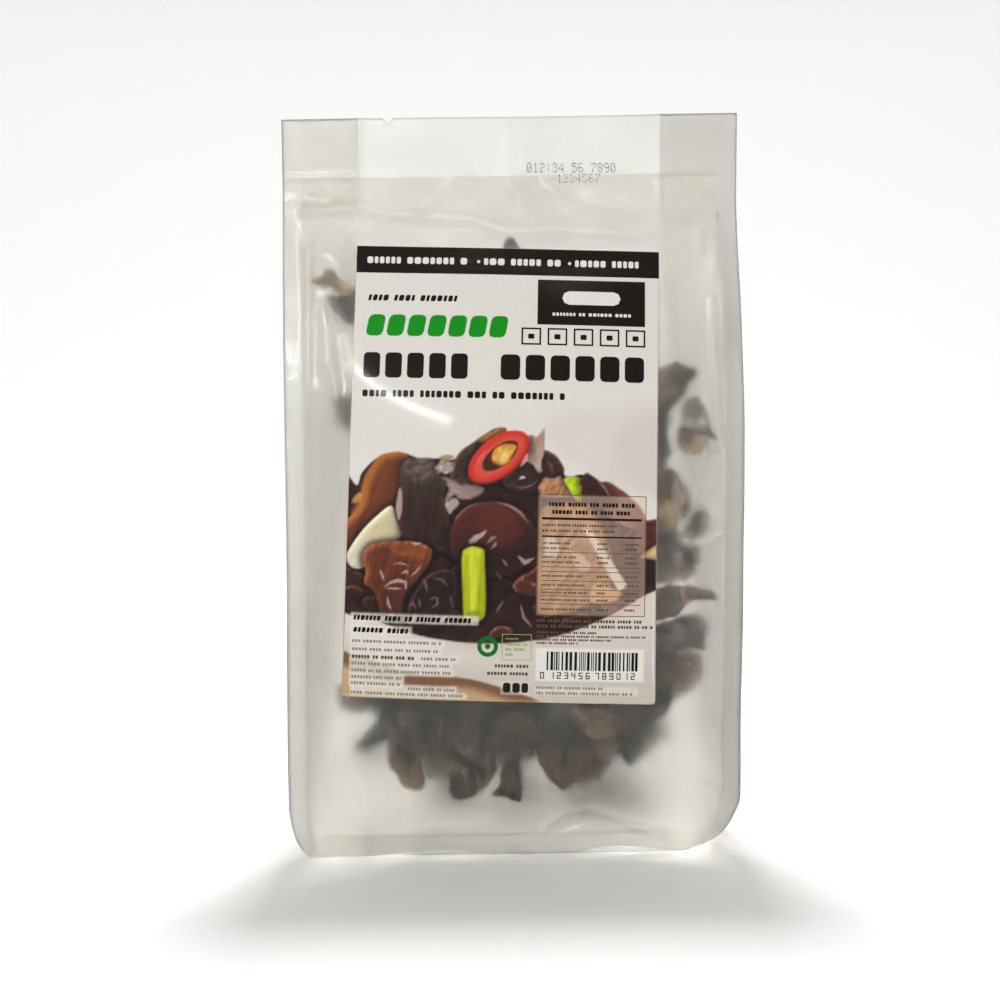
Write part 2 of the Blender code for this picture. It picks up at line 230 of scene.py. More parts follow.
# ---------------------------------------------------------------- mesh helpers
def new_object(name, verts, faces, mats, face_mats=None, smooth_faces=True):
    """verts in millimetres."""
    mesh = bpy.data.meshes.new(name)
    verts = np.asarray(verts, dtype=float) * MM
    mesh.from_pydata(verts.tolist(), [], faces)
    for m in mats:
        mesh.materials.append(m)
    if face_mats is not None:
        mesh.polygons.foreach_set("material_index", np.asarray(face_mats, dtype=np.int32))
    if smooth_faces:
        mesh.shade_smooth()
    mesh.update()
    obj = bpy.data.objects.new(name, mesh)
    bpy.context.scene.collection.objects.link(obj)
    return obj


def grid_normals(p):
    du = np.gradient(p, axis=1)
    dv = np.gradient(p, axis=0)
    n = np.cross(du, dv)
    n /= np.maximum(1e-9, np.linalg.norm(n, axis=2, keepdims=True))
    return n


def shell_from_grid(name, p, thick, mats, cell_mat=None, flip=False):
    """A closed thin shell from a grid of middle points: outer sheet, inner sheet and rim."""
    rows, cols = p.shape[:2]
    n = grid_normals(p)
    if flip:
        n = -n
    outer = p + n * thick / 2.0
    inner = p - n * thick / 2.0
    verts = np.concatenate([outer.reshape(-1, 3), inner.reshape(-1, 3)])
    off = rows * cols
    idx = np.arange(off).reshape(rows, cols)
    a, b, c, d = idx[:-1, :-1], idx[:-1, 1:], idx[1:, 1:], idx[1:, :-1]
    quad = np.stack([a, b, c, d], axis=-1).reshape(-1, 4)
    if flip:
        quad = quad[:, ::-1]
    back = quad[:, ::-1] + off
    ring = np.concatenate([idx[0, :], idx[1:, -1], idx[-1, -2::-1], idx[-2:0:-1, 0]])
    nxt = np.roll(ring, -1)
    if flip:
        rim = np.stack([ring, nxt, nxt + off, ring + off], axis=-1)
    else:
        rim = np.stack([ring, ring + off, nxt + off, nxt], axis=-1)
    faces = quad.tolist() + back.tolist() + rim.tolist()
    fm = None
    if cell_mat is not None:
        cm = cell_mat.reshape(-1)
        fm = np.concatenate([cm, cm, np.full(len(rim), int(cm.max()))])
    return new_object(name, verts, faces, mats, fm)


# ---------------------------------------------------------------- materials
def node_material(name):
    mat = bpy.data.materials.new(name)
    mat.use_nodes = True
    nt = mat.node_tree
    nt.nodes.clear()
    out = nt.nodes.new("ShaderNodeOutputMaterial")
    return mat, nt, out


def link(nt, a, b):
    nt.links.new(a, b)


def noise_node(nt, coord, scale, detail=4.0, rough=0.55):
    n = nt.nodes.new("ShaderNodeTexNoise")
    n.inputs["Scale"].default_value = scale
    n.inputs["Detail"].default_value = detail
    n.inputs["Roughness"].default_value = rough
    link(nt, coord, n.inputs["Vector"])
    return n


def ramp_node(nt, fac, stops):
    r = nt.nodes.new("ShaderNodeValToRGB")
    el = r.color_ramp.elements
    el[0].position, el[0].color = stops[0][0], (*stops[0][1], 1.0)
    el[1].position, el[1].color = stops[-1][0], (*stops[-1][1], 1.0)
    for pos, col in stops[1:-1]:
        e = el.new(pos)
        e.color = (*col, 1.0)
    link(nt, fac, r.inputs["Fac"])
    return r


def film_material(name, low, high, trans, rough, ior, coat, weld):
    """Frosted film: rough clear plastic whose tint clouds a little from place to place."""
    mat, nt, out = node_material(name)
    tc = nt.nodes.new("ShaderNodeTexCoord")
    co = tc.outputs["Object"]
    sh = nt.nodes.new("ShaderNodeBsdfPrincipled")
    cloud = noise_node(nt, co, 30.0, 4.0)
    tint = ramp_node(nt, cloud.outputs["Fac"], [(0.32, low), (0.68, high)])
    colour = tint.outputs["Color"]
    sep = nt.nodes.new("ShaderNodeSeparateXYZ")
    link(nt, co, sep.inputs[0])
    if weld:
        # painted shade: the right-hand fin's colour is multiplied greyer, standing in for the fin turned away from the
        # light
        span = nt.nodes.new("ShaderNodeMapRange")
        span.inputs["From Min"].default_value = 0.060
        span.inputs["From Max"].default_value = 0.068
        link(nt, sep.outputs["X"], span.inputs["Value"])
        grey = nt.nodes.new("ShaderNodeMix")
        grey.data_type = "RGBA"
        grey.blend_type = "MULTIPLY"
        high_up = nt.nodes.new("ShaderNodeMapRange")
        high_up.inputs["From Min"].default_value = 0.170
        high_up.inputs["From Max"].default_value = 0.205
        high_up.inputs["To Min"].default_value = 1.0
        high_up.inputs["To Max"].default_value = 0.15
        link(nt, sep.outputs["Z"], high_up.inputs["Value"])
        share = nt.nodes.new("ShaderNodeMath")
        share.operation = "MULTIPLY"
        link(nt, span.outputs["Result"], share.inputs[0])
        link(nt, high_up.outputs["Result"], share.inputs[1])
        link(nt, share.outputs[0], grey.inputs[0])
        link(nt, colour, grey.inputs[6])
        grey.inputs[7].default_value = (0.86, 0.855, 0.845, 1.0)
        # painted shade: both fins are darkened towards the foot
        low_down = nt.nodes.new("ShaderNodeMapRange")
        low_down.inputs["From Min"].default_value = 0.150
        low_down.inputs["From Max"].default_value = 0.070
        link(nt, sep.outputs["Z"], low_down.inputs["Value"])
        foot_shade = nt.nodes.new("ShaderNodeMix")
        foot_shade.data_type = "RGBA"
        foot_shade.blend_type = "MULTIPLY"
        link(nt, low_down.outputs["Result"], foot_shade.inputs[0])
        link(nt, grey.outputs[2], foot_shade.inputs[6])
        foot_shade.inputs[7].default_value = (0.89, 0.885, 0.875, 1.0)
        colour = foot_shade.outputs[2]
    link(nt, colour, sh.inputs["Base Color"])
    sh.inputs["Roughness"].default_value = rough
    sh.inputs["IOR"].default_value = ior
    sh.inputs["Transmission Weight"].default_value = trans
    sh.inputs["Coat Weight"].default_value = coat
    sh.inputs["Coat Roughness"].default_value = 0.12
    fine = noise_node(nt, co, 1100.0, 2.0)
    grain = noise_node(nt, co, 240.0, 4.0)
    add = nt.nodes.new("ShaderNodeMath")
    add.operation = "MULTIPLY_ADD"
    add.inputs[1].default_value = 2.2
    link(nt, grain.outputs["Fac"], add.inputs[0])
    link(nt, fine.outputs["Fac"], add.inputs[2])
    bump = nt.nodes.new("ShaderNodeBump")
    bump.inputs["Strength"].default_value = 0.10
    bump.inputs["Distance"].default_value = 0.0002
    link(nt, add.outputs[0], bump.inputs["Height"])
    last = bump
    if weld:
        # the sealing bar's fine cross-hatch
        waves = []
        for axis, pitch in (("X", 0.0009), ("Z", 0.0011)):
            m = nt.nodes.new("ShaderNodeMath")
            m.operation = "MULTIPLY"
            m.inputs[1].default_value = 2 * math.pi / pitch
            link(nt, sep.outputs[axis], m.inputs[0])
            q = nt.nodes.new("ShaderNodeMath")
            q.operation = "SINE"
            link(nt, m.outputs[0], q.inputs[0])
            waves.append(q)
        mul = nt.nodes.new("ShaderNodeMath")
        mul.operation = "MULTIPLY"
        link(nt, waves[0].outputs[0], mul.inputs[0])
        link(nt, waves[1].outputs[0], mul.inputs[1])
        b2 = nt.nodes.new("ShaderNodeBump")
        b2.inputs["Strength"].default_value = 0.5
        b2.inputs["Distance"].default_value = 0.0001
        link(nt, mul.outputs[0], b2.inputs["Height"])
        link(nt, bump.outputs["Normal"], b2.inputs["Normal"])
        last = b2
    link(nt, last.outputs["Normal"], sh.inputs["Normal"])
    # light reaches the inside through the film
    path = nt.nodes.new("ShaderNodeLightPath")
    clear = nt.nodes.new("ShaderNodeBsdfTransparent")
    clear.inputs["Color"].default_value = (*FILM_SHADOW, 1.0)
    mix = nt.nodes.new("ShaderNodeMixShader")
    link(nt, path.outputs["Is Shadow Ray"], mix.inputs["Fac"])
    link(nt, sh.outputs[0], mix.inputs[1])
    link(nt, clear.outputs[0], mix.inputs[2])
    link(nt, mix.outputs[0], out.inputs["Surface"])
    return mat


FILM_SHADOW = (0.71, 0.70, 0.68)
FILM = film_material("frosted_film", (0.755, 0.74, 0.705), (0.825, 0.815, 0.785), 0.992, 0.70, 1.27, 0.36, False)
SIDE_FILM = film_material("frosted_gusset_film", (0.955, 0.95, 0.935), (0.98, 0.975, 0.965), 0.82, 0.40, 1.25, 0.25, False)
WELD = film_material("frosted_film_welded", (0.89, 0.885, 0.865), (0.935, 0.93, 0.915), 0.88, 0.42, 1.33, 0.45, True)


def ear_material(name, rough, sheen, fine_scale, strength, coat):
    """Colour comes from the ear's own painted tone, broken up by noise."""
    mat, nt, out = node_material(name)
    tc = nt.nodes.new("ShaderNodeTexCoord")
    co = tc.outputs["Object"]
    sh = nt.nodes.new("ShaderNodeBsdfPrincipled")
    att = nt.nodes.new("ShaderNodeAttribute")
    att.attribute_name = "tone"
    spots = noise_node(nt, co, 420.0, 5.0, 0.65)
    r = ramp_node(nt, spots.outputs["Fac"], [(0.28, (0.62, 0.60, 0.58)), (0.5, (1.0, 1.0, 1.0)), (0.74, (1.45, 1.4, 1.3))])
    mix = nt.nodes.new("ShaderNodeMix")
    mix.data_type = "RGBA"
    mix.blend_type = "MULTIPLY"
    mix.inputs[0].default_value = 1.0
    link(nt, att.outputs["Color"], mix.inputs[6])
    link(nt, r.outputs["Color"], mix.inputs[7])
    link(nt, mix.outputs[2], sh.inputs["Base Color"])
    sh.inputs["Roughness"].default_value = rough
    sh.inputs["Sheen Weight"].default_value = sheen
    sh.inputs["Coat Weight"].default_value = coat
    sh.inputs["Coat Roughness"].default_value = 0.3
    sh.inputs["Specular IOR Level"].default_value = 0.3
    fine = noise_node(nt, co, fine_scale, 6.0, 0.65)
    bump = nt.nodes.new("ShaderNodeBump")
    bump.inputs["Strength"].default_value = strength
    bump.inputs["Distance"].default_value = 0.0006
    link(nt, fine.outputs["Fac"], bump.inputs["Height"])
    link(nt, bump.outputs["Normal"], sh.inputs["Normal"])
    link(nt, sh.outputs[0], out.inputs["Surface"])
    return mat


EAR_UPPER = ear_material("ear_upper_side", 0.45, 0.0, 500.0, 0.5, 0.15)
EAR_FELT = ear_material("ear_felted_side", 0.9, 0.3, 1000.0, 0.9, 0.0)


# ---------------------------------------------------------------- film panels
def lines_to(x, z, pts, width):
    """Ridge of unit height along a broken line of (x, z) points."""
    best = np.full(x.shape, 1e9)
    for (x0, z0), (x1, z1) in zip(pts[:-1], pts[1:]):
        dx, dz = x1 - x0, z1 - z0
        t = np.clip(((x - x0) * dx + (z - z0) * dz) / (dx * dx + dz * dz), 0, 1)
        dist = np.hypot(x - x0 - t * dx, z - z0 - t * dz)
        best = np.minimum(best, dist)
    return np.exp(-(best / width) ** 2)


NECK = ((-76.0, 211.0), (-69.6, 211.3), (-50.7, 211.7), (-41.4, 208.3), (-13.3, 206.2), (-1.7, 201.7),
        (16.5, 201.8), (43.1, 199.8), (49.7, 203.7), (63.1, 207.8), (74.6, 205.0))


def slack(x, z):
    """Low, broad unevenness of the front film, which the label follows too."""
    x, z = np.asarray(x, dtype=float), np.asarray(z, dtype=float)
    free = vstep(SEAL_Z + 1, SEAL_Z - 14, z) * vstep(HEM_H, HEM_H + 16, z)
    return 0.5 * free * value_noise(x, z, 58.0, 3)


def under_label(x, z):
    """1 under the label, fading to 0 a few millimetres outside it."""
    c, s = math.cos(LABEL_TILT), math.sin(LABEL_TILT)
    u, v = (x - LABEL_X) / 0.993, (z - LABEL_Z) / 0.987
    a, b = u * c - v * s, u * s + v * c
    out = np.hypot(np.clip(np.abs(a) - 50.6, 0, None), np.clip(np.abs(b) - 74.6, 0, None))
    return 1.0 - vstep(0.0, 5.0, out)


def crumple(x, z, pitch, seed):
    """Thin raised lines where the film has been bent: a broken network, 0 to 1."""
    n = value_noise(x, z, pitch, seed)
    m = value_noise(x, z, pitch * 2.3, seed + 40)
    return np.clip(1.0 - np.abs(n) * 5.0, 0, 1) ** 2 * np.clip(0.5 + 1.4 * m, 0, 1)


def front_detail(x, z):
    """Outward swell of the front film over its plain form: creases, folds and slack."""
    return slack(x, z) + (1.0 - under_label(x, z)) * creases(x, z)


def creases(x, z):
    w = np.zeros_like(x)
    neck = np.interp(x, [p[0] for p in NECK], [p[1] for p in NECK])
    below = neck - z
    w += 1.1 * np.exp(-((below - 1.5) / 1.9) ** 2)              # crest of the neck crease
    w -= 0.35 * np.exp(-((below + 3.0) / 2.2) ** 2)              # hollow over it
    w += 0.5 * vstep(0.0, 12.0, below) * vstep(34.0, 14.0, below)
    w += 0.30 * lines_to(x, z, [(-50.4, 241), (-50.4, 197)], 0.9)
    w += 0.34 * lines_to(x, z, [(50.2, 241), (50.2, 196)], 0.9)
    w += 0.22 * lines_to(x, z, [(-1.0, 239), (-0.8, 221), (3.5, 207)], 0.9)
    w += 0.24 * lines_to(x, z, [(-76, SEAL_Z), (76, SEAL_Z)], 0.9)
    w += 0.68 * lines_to(x, z, [(-28.5, 209), (-19.0, 219)], 1.5)
    w += 0.60 * lines_to(x, z, [(-64, 216), (-52, 209), (-46, 198)], 1.6)
    w += 0.60 * lines_to(x, z, [(57, 218), (63, 208), (62, 194)], 1.5)
    w += 0.52 * lines_to(x, z, [(12, 219), (20, 210), (38, 206)], 1.5)
    w += 0.52 * lines_to(x, z, [(-45, 196), (-20, 199.5), (10, 197.5)], 1.8)
    free = vstep(SEAL_Z + 1, SEAL_Z - 14, z) * vstep(HEM_H, HEM_H + 16, z)
    w += 0.30 * free * value_noise(x, z, 24.0, 5) + 0.12 * free * value_noise(x, z, 9.0, 6)
    w += 0.30 * free * crumple(x, z, 30.0, 51) + 0.16 * crumple(x, z, 17.0, 53)
    # welds are flat but faintly quilted
    w += 0.05 * (1 - free) * value_noise(x, z, 9.0, 7)
    # right side: the film stands up along the fin and breaks at two knees
    w += 1.42 * lines_to(x, z, [(65.5, 178), (66.2, 132), (70.0, 121)], 1.5)
    w += 0.90 * lines_to(x, z, [(51, 134), (58.5, 116), (66.0, 124)], 1.3) + 0.75 * lines_to(x, z, [(58.5, 116), (55.0, 100)], 1.3)
    w += 0.52 * lines_to(x, z, [(70.5, 42), (62, 46)], 1.2) + 0.52 * lines_to(x, z, [(70.0, 19), (60, 24)], 1.3)
    w += 0.60 * lines_to(x, z, [(72, 72), (64, 78), (60, 90)], 1.4)
    # left side: a soft long fold beside the fin
    w += 0.75 * lines_to(x, z, [(-66.5, 196), (-66.8, 90), (-66.4, 30)], 1.4)
    w += 0.52 * lines_to(x, z, [(-62, 176), (-57, 146), (-58, 120)], 2.6)
    w += 0.45 * lines_to(x, z, [(-65, 60), (-58, 44), (-60, 22)], 2.2)
    # above the hem: shallow pulls
    w += 1.27 * lines_to(x, z, [(8.0, 8.5), (14.0, 13.6), (22.0, 15.2), (30.0, 12.0), (40.5, 7.8)], 1.4)
    w += 0.83 * lines_to(x, z, [(-2.5, 3.5), (19.5, 8.0), (38.5, 8.6)], 1.2)
    w -= 0.68 * lines_to(x, z, [(10.0, 5.5), (20.0, 11.4), (33.0, 8.4)], 2.0)
    w += 0.52 * lines_to(x, z, [(-66, 9.5), (-40, 8.2), (-10, 10.5)], 1.0)
    w += 0.38 * lines_to(x, z, [(-45, 12), (-30, 22)], 2.2)
    return w


def back_detail(x, z):
    w = np.zeros_like(x)
    neck = 207.0 - 2.5 * np.sin(x * 0.055 + 0.8)
    below = neck - z
    w += 0.5 * np.exp(-((below - 1.5) / 2.0) ** 2) - 0.3 * np.exp(-((below + 3.5) / 2.6) ** 2)
    w += 0.22 * lines_to(x, z, [(-50.4, 241), (-50.4, 197)], 0.7)
    w += 0.22 * lines_to(x, z, [(50.2, 241), (50.2, 196)], 0.7)
    w += 0.10 * lines_to(x, z, [(-76, SEAL_Z), (76, SEAL_Z)], 0.5)
    free = vstep(SEAL_Z + 1, SEAL_Z - 14, z) * vstep(HEM_H, HEM_H + 16, z)
    w += 0.55 * free * value_noise(x, z, 52.0, 13) + 0.22 * free * value_noise(x, z, 20.0, 15)
    w += 0.35 * free * crumple(x, z, 34.0, 61) + 0.16 * crumple(x, z, 18.0, 63)
    w += 0.05 * (1 - free) * value_noise(x, z, 9.0, 17)
    w += 0.6 * lines_to(x, z, [(66.5, 190), (67.0, 60)], 1.4) + 0.6 * lines_to(x, z, [(-66.5, 190), (-67.0, 60)], 1.4)
    w += 0.4 * lines_to(x, z, [(-30, 206), (-12, 186), (-16, 170)], 1.8)
    w += 0.4 * lines_to(x, z, [(38, 204), (26, 190)], 1.6)
    w += 0.35 * lines_to(x, z, [(-62, 12), (-38, 17), (-8, 11), (30, 16)], 1.2)
    return w


def limit_detail(x, z, w):
    """No crease may reach into the layer behind: the swell dies out where film lies on film."""
    inner = v_inner(x, z)
    pressed = np.maximum(vstep(inner - 0.5, inner + 1.2, np.abs(x)), vstep(SEAL_Z - 3.0, SEAL_Z, z))
    return w * (1.0 - pressed) + np.clip(w, -0.02, 0.35) * pressed


def panel_grid(face, nr, nc):
    zr = np.concatenate([np.linspace(0.0, HEM_H, max(6, nr // 28)), np.linspace(HEM_H, BAG_HEIGHT, nr)[1:]])
    s = np.linspace(-1.0, 1.0, nc)
    lo = np.interp(zr, ZS, T_LEFT)
    hi = np.interp(zr, ZS, T_RIGHT)
    mid, half = (hi - lo) / 2.0, (hi + lo) / 2.0
    x = mid[:, None] + half[:, None] * s[None, :]
    z0 = np.repeat(zr[:, None], nc, axis=1)
    hx = v_hem(x if face < 0 else x * 0.9 - 4.0)
    z = z0 + hx * (1.0 - vstep(0.0, 12.0, z0))
    d = v_depth(x, z0)
    detail = front_detail(x, z) if face < 0 else back_detail(x, z)
    detail = limit_detail(x, z0, detail)
    # tear notch: rows near the top dip to the V, so the cut edge is clean
    cut = np.clip(1.0 - np.abs(x - NOTCH_X) / (NOTCH_W / 2.0), 0.0, 1.0) * NOTCH_H
    top = vstep(BAG_HEIGHT - 9.0, BAG_HEIGHT, z0)
    z = z - cut * top
    # the free cut edge waves a little out of plane
    y = d + detail
    wave = 0.35 * vstep(BAG_HEIGHT - 30, BAG_HEIGHT, z0) * np.sin(x * 0.062 + 0.6)
    p = np.stack([x, face * y + wave, z], axis=-1)
    return p, x, z0


NR, NC = ((250, 172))
p, gx, gz = panel_grid(-1, NR, NC)


def weld_cells(gx, gz):
    cx = (gx[:-1, :-1] + gx[1:, 1:]) / 2
    cz = (gz[:-1, :-1] + gz[1:, 1:]) / 2
    weld = (np.abs(cx) > v_inner(cx, cz)) | (cz > SEAL_Z)
    return weld.astype(np.int32)


front = shell_from_grid("film_front", p, FILM_T, [FILM, WELD], weld_cells(gx, gz))
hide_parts("front_panel")
p, gx, gz = panel_grid(1, NR * 2 // 3, NC * 2 // 3)
back = shell_from_grid("film_back", p, FILM_T, [FILM, WELD], weld_cells(gx, gz), flip=True)
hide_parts("back_panel")


def gusset_grid(side, nr, nc):
    """Film of one side: fin, front half, inner fold, back half, fin."""
    zr = np.concatenate([np.linspace(0.8, 8.0, 10), np.linspace(8.0, BAG_HEIGHT - 0.2, nr)[1:]])
    rng_seed = 21 if side < 0 else 22
    out = np.interp(zr, ZS, T_LEFT if side < 0 else T_RIGHT) - 0.15
    rows = []
    fins = 5
    half = nc // 2
    t_half = np.linspace(0.0, 1.0, half)
    for z, o in zip(zr, out):
        d = corner_depth(z)
        reach = max(0.16, d - 0.2)
        inner = inner_edge(side, z)
        fold = gusset_fold(side, z)
        pressed = smooth(SEAL_Z - 12.0, SEAL_Z, z)
        y = np.maximum(reach * (1.0 - t_half), 0.10)
        bow = 1.6 * smooth(215.0, 150.0, z) * np.sin(np.pi * t_half)
        x = inner + (fold - inner) * t_half + bow
        slack = (1.0 - pressed) * smooth(2.0, 22.0, z) * np.sin(np.pi * np.clip(t_half * 1.02, 0, 1))
        zz = np.full_like(t_half, z)
        x_f = x + slack * (0.8 * value_noise(t_half * 19.0, zz, 34.0, rng_seed) + 0.3 * value_noise(t_half * 19.0, zz, 12.0, rng_seed + 4))
        x_b = x + slack * (0.8 * value_noise(t_half * 19.0, zz, 31.0, rng_seed + 8) + 0.3 * value_noise(t_half * 19.0, zz, 13.0, rng_seed + 12))
        xf = np.concatenate([np.linspace(o, inner, fins)[:-1], x_f])
        yf = np.concatenate([np.full(fins - 1, reach), y])
        xb = np.concatenate([np.linspace(o, inner, fins)[:-1], x_b])[::-1]
        yb = yf[::-1]
        rx = np.concatenate([xf, xb])
        ry = np.concatenate([-yf, yb])
        wave = 0.35 * smooth(BAG_HEIGHT - 30, BAG_HEIGHT, z) * np.sin(side * rx * 0.062 + 0.6)
        rows.append(np.stack([side * rx, ry + wave, np.full_like(rx, z)], axis=-1))
    g = np.array(rows)
    cz = (zr[:-1] + zr[1:]) / 2
    cols = g.shape[1] - 1
    weld = np.zeros((len(zr) - 1, cols), dtype=np.int32)
    weld[:, : fins - 1] = 1
    weld[:, cols - fins + 1:] = 1
    weld[cz > SEAL_Z, :] = 1
    return g, weld


for side, name, node in ((-1, "film_left_gusset", "left_gusset"), (1, "film_right_gusset", "right_gusset")):
    g, weld = gusset_grid(side, 200, 56)
    obj = shell_from_grid(name, g, FILM_T, [SIDE_FILM, WELD], weld, flip=(side < 0))
    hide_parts(node)

# base: a tray with turned-up flanges, faintly puckered
ny = 46
section = []
for k in range(ny):
    t = k / (ny - 1.0)
    s = -1.0 + 2.0 * t
    L = BASE_HALF + HEM_H - 1.0
    u = s * L
    flat = BASE_HALF - 1.6
    r = 1.6
    arc = r * math.pi / 2
    if abs(u) <= flat:
        yy, zz = u, 0.0
    elif abs(u) <= flat + arc:
        a = (abs(u) - flat) / r
        yy, zz = math.copysign(flat + r * math.sin(a), u), r - r * math.cos(a)
    else:
        yy, zz = math.copysign(flat + r, u), r + abs(u) - flat - arc
    section.append((yy, zz))
section = np.array(section)
nx = 90
bx = np.linspace(BASE_LEFT, BASE_RIGHT, nx)
bg = np.zeros((nx, ny, 3))
bg[:, :, 0] = bx[:, None]
bg[:, :, 1] = section[None, :, 0]
bg[:, :, 2] = section[None, :, 1] + FILM_T / 2
inside = np.clip(1.0 - np.abs(bg[:, :, 1]) / (BASE_HALF - 2.0), 0, 1) * np.clip((bg[:, :, 0] - BASE_LEFT) / 8.0, 0, 1) * np.clip((BASE_RIGHT - bg[:, :, 0]) / 8.0, 0, 1)
bg[:, :, 2] += inside * (0.35 + 0.35 * value_noise(bg[:, :, 0], bg[:, :, 1], 18.0, 31))
base = shell_from_grid("film_base", bg, FILM_T, [SIDE_FILM], None, flip=True)
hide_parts("base_panel")


rng = np.random.RandomState(77)
vs, fs = [], []
for k in range(70):
    x0, z0 = (rng.uniform(-44, 62), rng.uniform(16, 46)) if k < 34 else (rng.uniform(52, 64), rng.uniform(50, 170)) if k < 54 else (
        rng.uniform(-62, 62), rng.uniform(204, 234))
    gx, gz = np.array([x0]), np.array([z0])
    if float(under_label(gx, gz)[0]) > 0.02:
        continue
    y0 = -float((v_depth(gx, gz) + limit_detail(gx, gz, front_detail(gx, gz)))[0]) - 0.06
    rad = rng.uniform(0.07, 0.17)
    base_i = len(vs)
    for i, u in enumerate((-0.9, 0.0, 0.9)):
        for j in range(6):
            t = 2 * math.pi * j / 6 + 0.3 * i
            rr = rad * math.cos(u)
            vs.append((x0 + rr * math.cos(t) * rng.uniform(0.7, 1.4), y0 + rad * 0.6 * math.sin(u), z0 + rr * math.sin(t)))
    fs.append(tuple(base_i + j for j in range(6)))
    fs.append(tuple(base_i + 17 - j for j in range(6)))
    for i in range(2):
        for j in range(6):
            a0, b0 = base_i + 6 * i + j, base_i + 6 * i + (j + 1) % 6
            fs.append((b0, a0, a0 + 6, b0 + 6))
mat, nt, out = node_material("film_specks")
sh = nt.nodes.new("ShaderNodeBsdfPrincipled")
tc = nt.nodes.new("ShaderNodeTexCoord")
tone = ramp_node(nt, noise_node(nt, tc.outputs["Object"], 200.0, 2.0).outputs["Fac"], [(0.3, (0.62, 0.61, 0.58)), (0.7, (0.86, 0.85, 0.82))])
link(nt, tone.outputs["Color"], sh.inputs["Base Color"])
sh.inputs["Roughness"].default_value = 0.35
link(nt, sh.outputs[0], out.inputs["Surface"])
specks = new_object("film_specks", np.array(vs), fs, [mat])


# ---------------------------------------------------------------- wood ears
def ear_sheet(seed, size, curl, rings, spokes):
    rng = np.random.RandomState(seed)
    p = rng.uniform(0.0, 2.0 * math.pi, 8)
    lobe = rng.uniform(0.10, 0.20, 3)
    stretch = rng.uniform(0.78, 1.0)
    cup = rng.uniform(0.10, 0.30)
    ripple = rng.uniform(0.05, 0.11)
    waves = int(rng.randint(2, 4))
    axis = rng.uniform(0.0, math.pi)
    pts = [(0.0, 0.0)]
    rr = [0.0]
    th = [0.0]
    for i in range(1, rings + 1):
        r = i / float(rings)
        for j in range(spokes):
            a = 2.0 * math.pi * j / spokes
            reach = size * (1.0 + lobe[0] * math.cos(a - p[0]) + lobe[1] * 0.8 * math.cos(2 * a - p[1])
                            + lobe[2] * 0.5 * math.cos(3 * a - p[2]))
            pts.append((reach * r * math.cos(a), reach * r * math.sin(a) * stretch))
            rr.append(r)
            th.append(a)
    pts = np.array(pts)
    rr = np.array(rr)
    th = np.array(th)
    h = size * (cup * rr ** 2 + ripple * rr ** 2 * np.sin(waves * th + p[3]))
    q = pts[:, 0] * math.cos(axis) + pts[:, 1] * math.sin(axis)
    w = -pts[:, 0] * math.sin(axis) + pts[:, 1] * math.cos(axis)
    k = curl / size
    q2 = np.sin(k * q) / k * (1.0 - 0.0 * q)
    h2 = h + (1.0 - np.cos(k * q)) / k
    out = np.stack([q2 * math.cos(axis) - w * math.sin(axis),
                    q2 * math.sin(axis) + w * math.cos(axis), h2], axis=1)
    out[:, 2] -= out[:, 2].mean()
    return out


def rotation(rx, ry, rz):
    cx, sx, cy, sy, cz, sz = (math.cos(rx), math.sin(rx), math.cos(ry), math.sin(ry),
                              math.cos(rz), math.sin(rz))
    mx = np.array([[1, 0, 0], [0, cx, -sx], [0, sx, cx]])
    my = np.array([[cy, 0, sy], [0, 1, 0], [-sy, 0, cy]])
    mz = np.array([[cz, -sz, 0], [sz, cz, 0], [0, 0, 1]])
    return mz @ my @ mx


def film_room(pts):
    room = 1e9
    for x, y, z in pts:
        if z > 206.0 or z < 0.5:
            return -9.0
        side = -1 if x < 0 else 1
        deep = depth_at(x, z)
        room = min(room, y + deep, deep - y, z - 0.6)
        reach = max(0.25, corner_depth(z) - LAYER)
        if abs(y) < reach:
            room = min(room, (gusset_x(side, y, z) - abs(x)) * 0.8 - 0.5)
        else:
            room = min(room, inner_edge(side, z) - abs(x))
        if z < HEM_H + 1.0:
            room = min(room, BASE_HALF - 0.3 - abs(y), x - BASE_LEFT, BASE_RIGHT - x)
    return room


class Pile:
    def __init__(self):
        self.points = []
        self.tree = None

    def clear_of(self, pts, gap):
        if self.tree is None:
            return True
        for p in pts:
            if self.tree.find(p)[2] < gap:
                return False
        return True

    def add(self, pts):
        self.points.extend([tuple(p) for p in pts])
        self.tree = KDTree(len(self.points))
        for i, p in enumerate(self.points):
            self.tree.insert(p, i)
        self.tree.balance()


SHOWN = (
    (-55.5, 183.0, 9.0, 0.9, 90, 38, 0, 11), (1.5, 193.0, 8.0, 1.1, 60, 5, 80, 12),
    (-47.5, 146.0, 9.0, 0.8, 84, -10, 60, 13), (54.5, 160.0, 8.5, 0.9, 90, 20, -12, 14),
    (57.5, 140.0, 10.0, 0.8, 90, -30, -14, 15), (58.5, 112.0, 8.0, 1.0, 90, 40, -20, 16),
    (56.5, 90.0, 8.5, 1.1, 75, 8, -30, 17), (54.5, 72.0, 9.0, 0.8, 90, 65, -10, 18),
    (50.5, 57.5, 8.5, 0.9, 90, 10, -12, 19), (-46.0, 42.0, 9.5, 0.8, 90, 20, 10, 20),
    (-33.0, 33.5, 9.5, 0.9, 84, -35, 4, 21), (-14.5, 30.0, 10.0, 0.9, 90, 12, -4, 22),
    (4.0, 33.0, 9.0, 0.8, 96, 70, 6, 23), (22.5, 31.0, 10.5, 0.8, 90, -14, 0, 24),
    (41.0, 37.0, 9.0, 1.0, 88, 34, -8, 25),
)


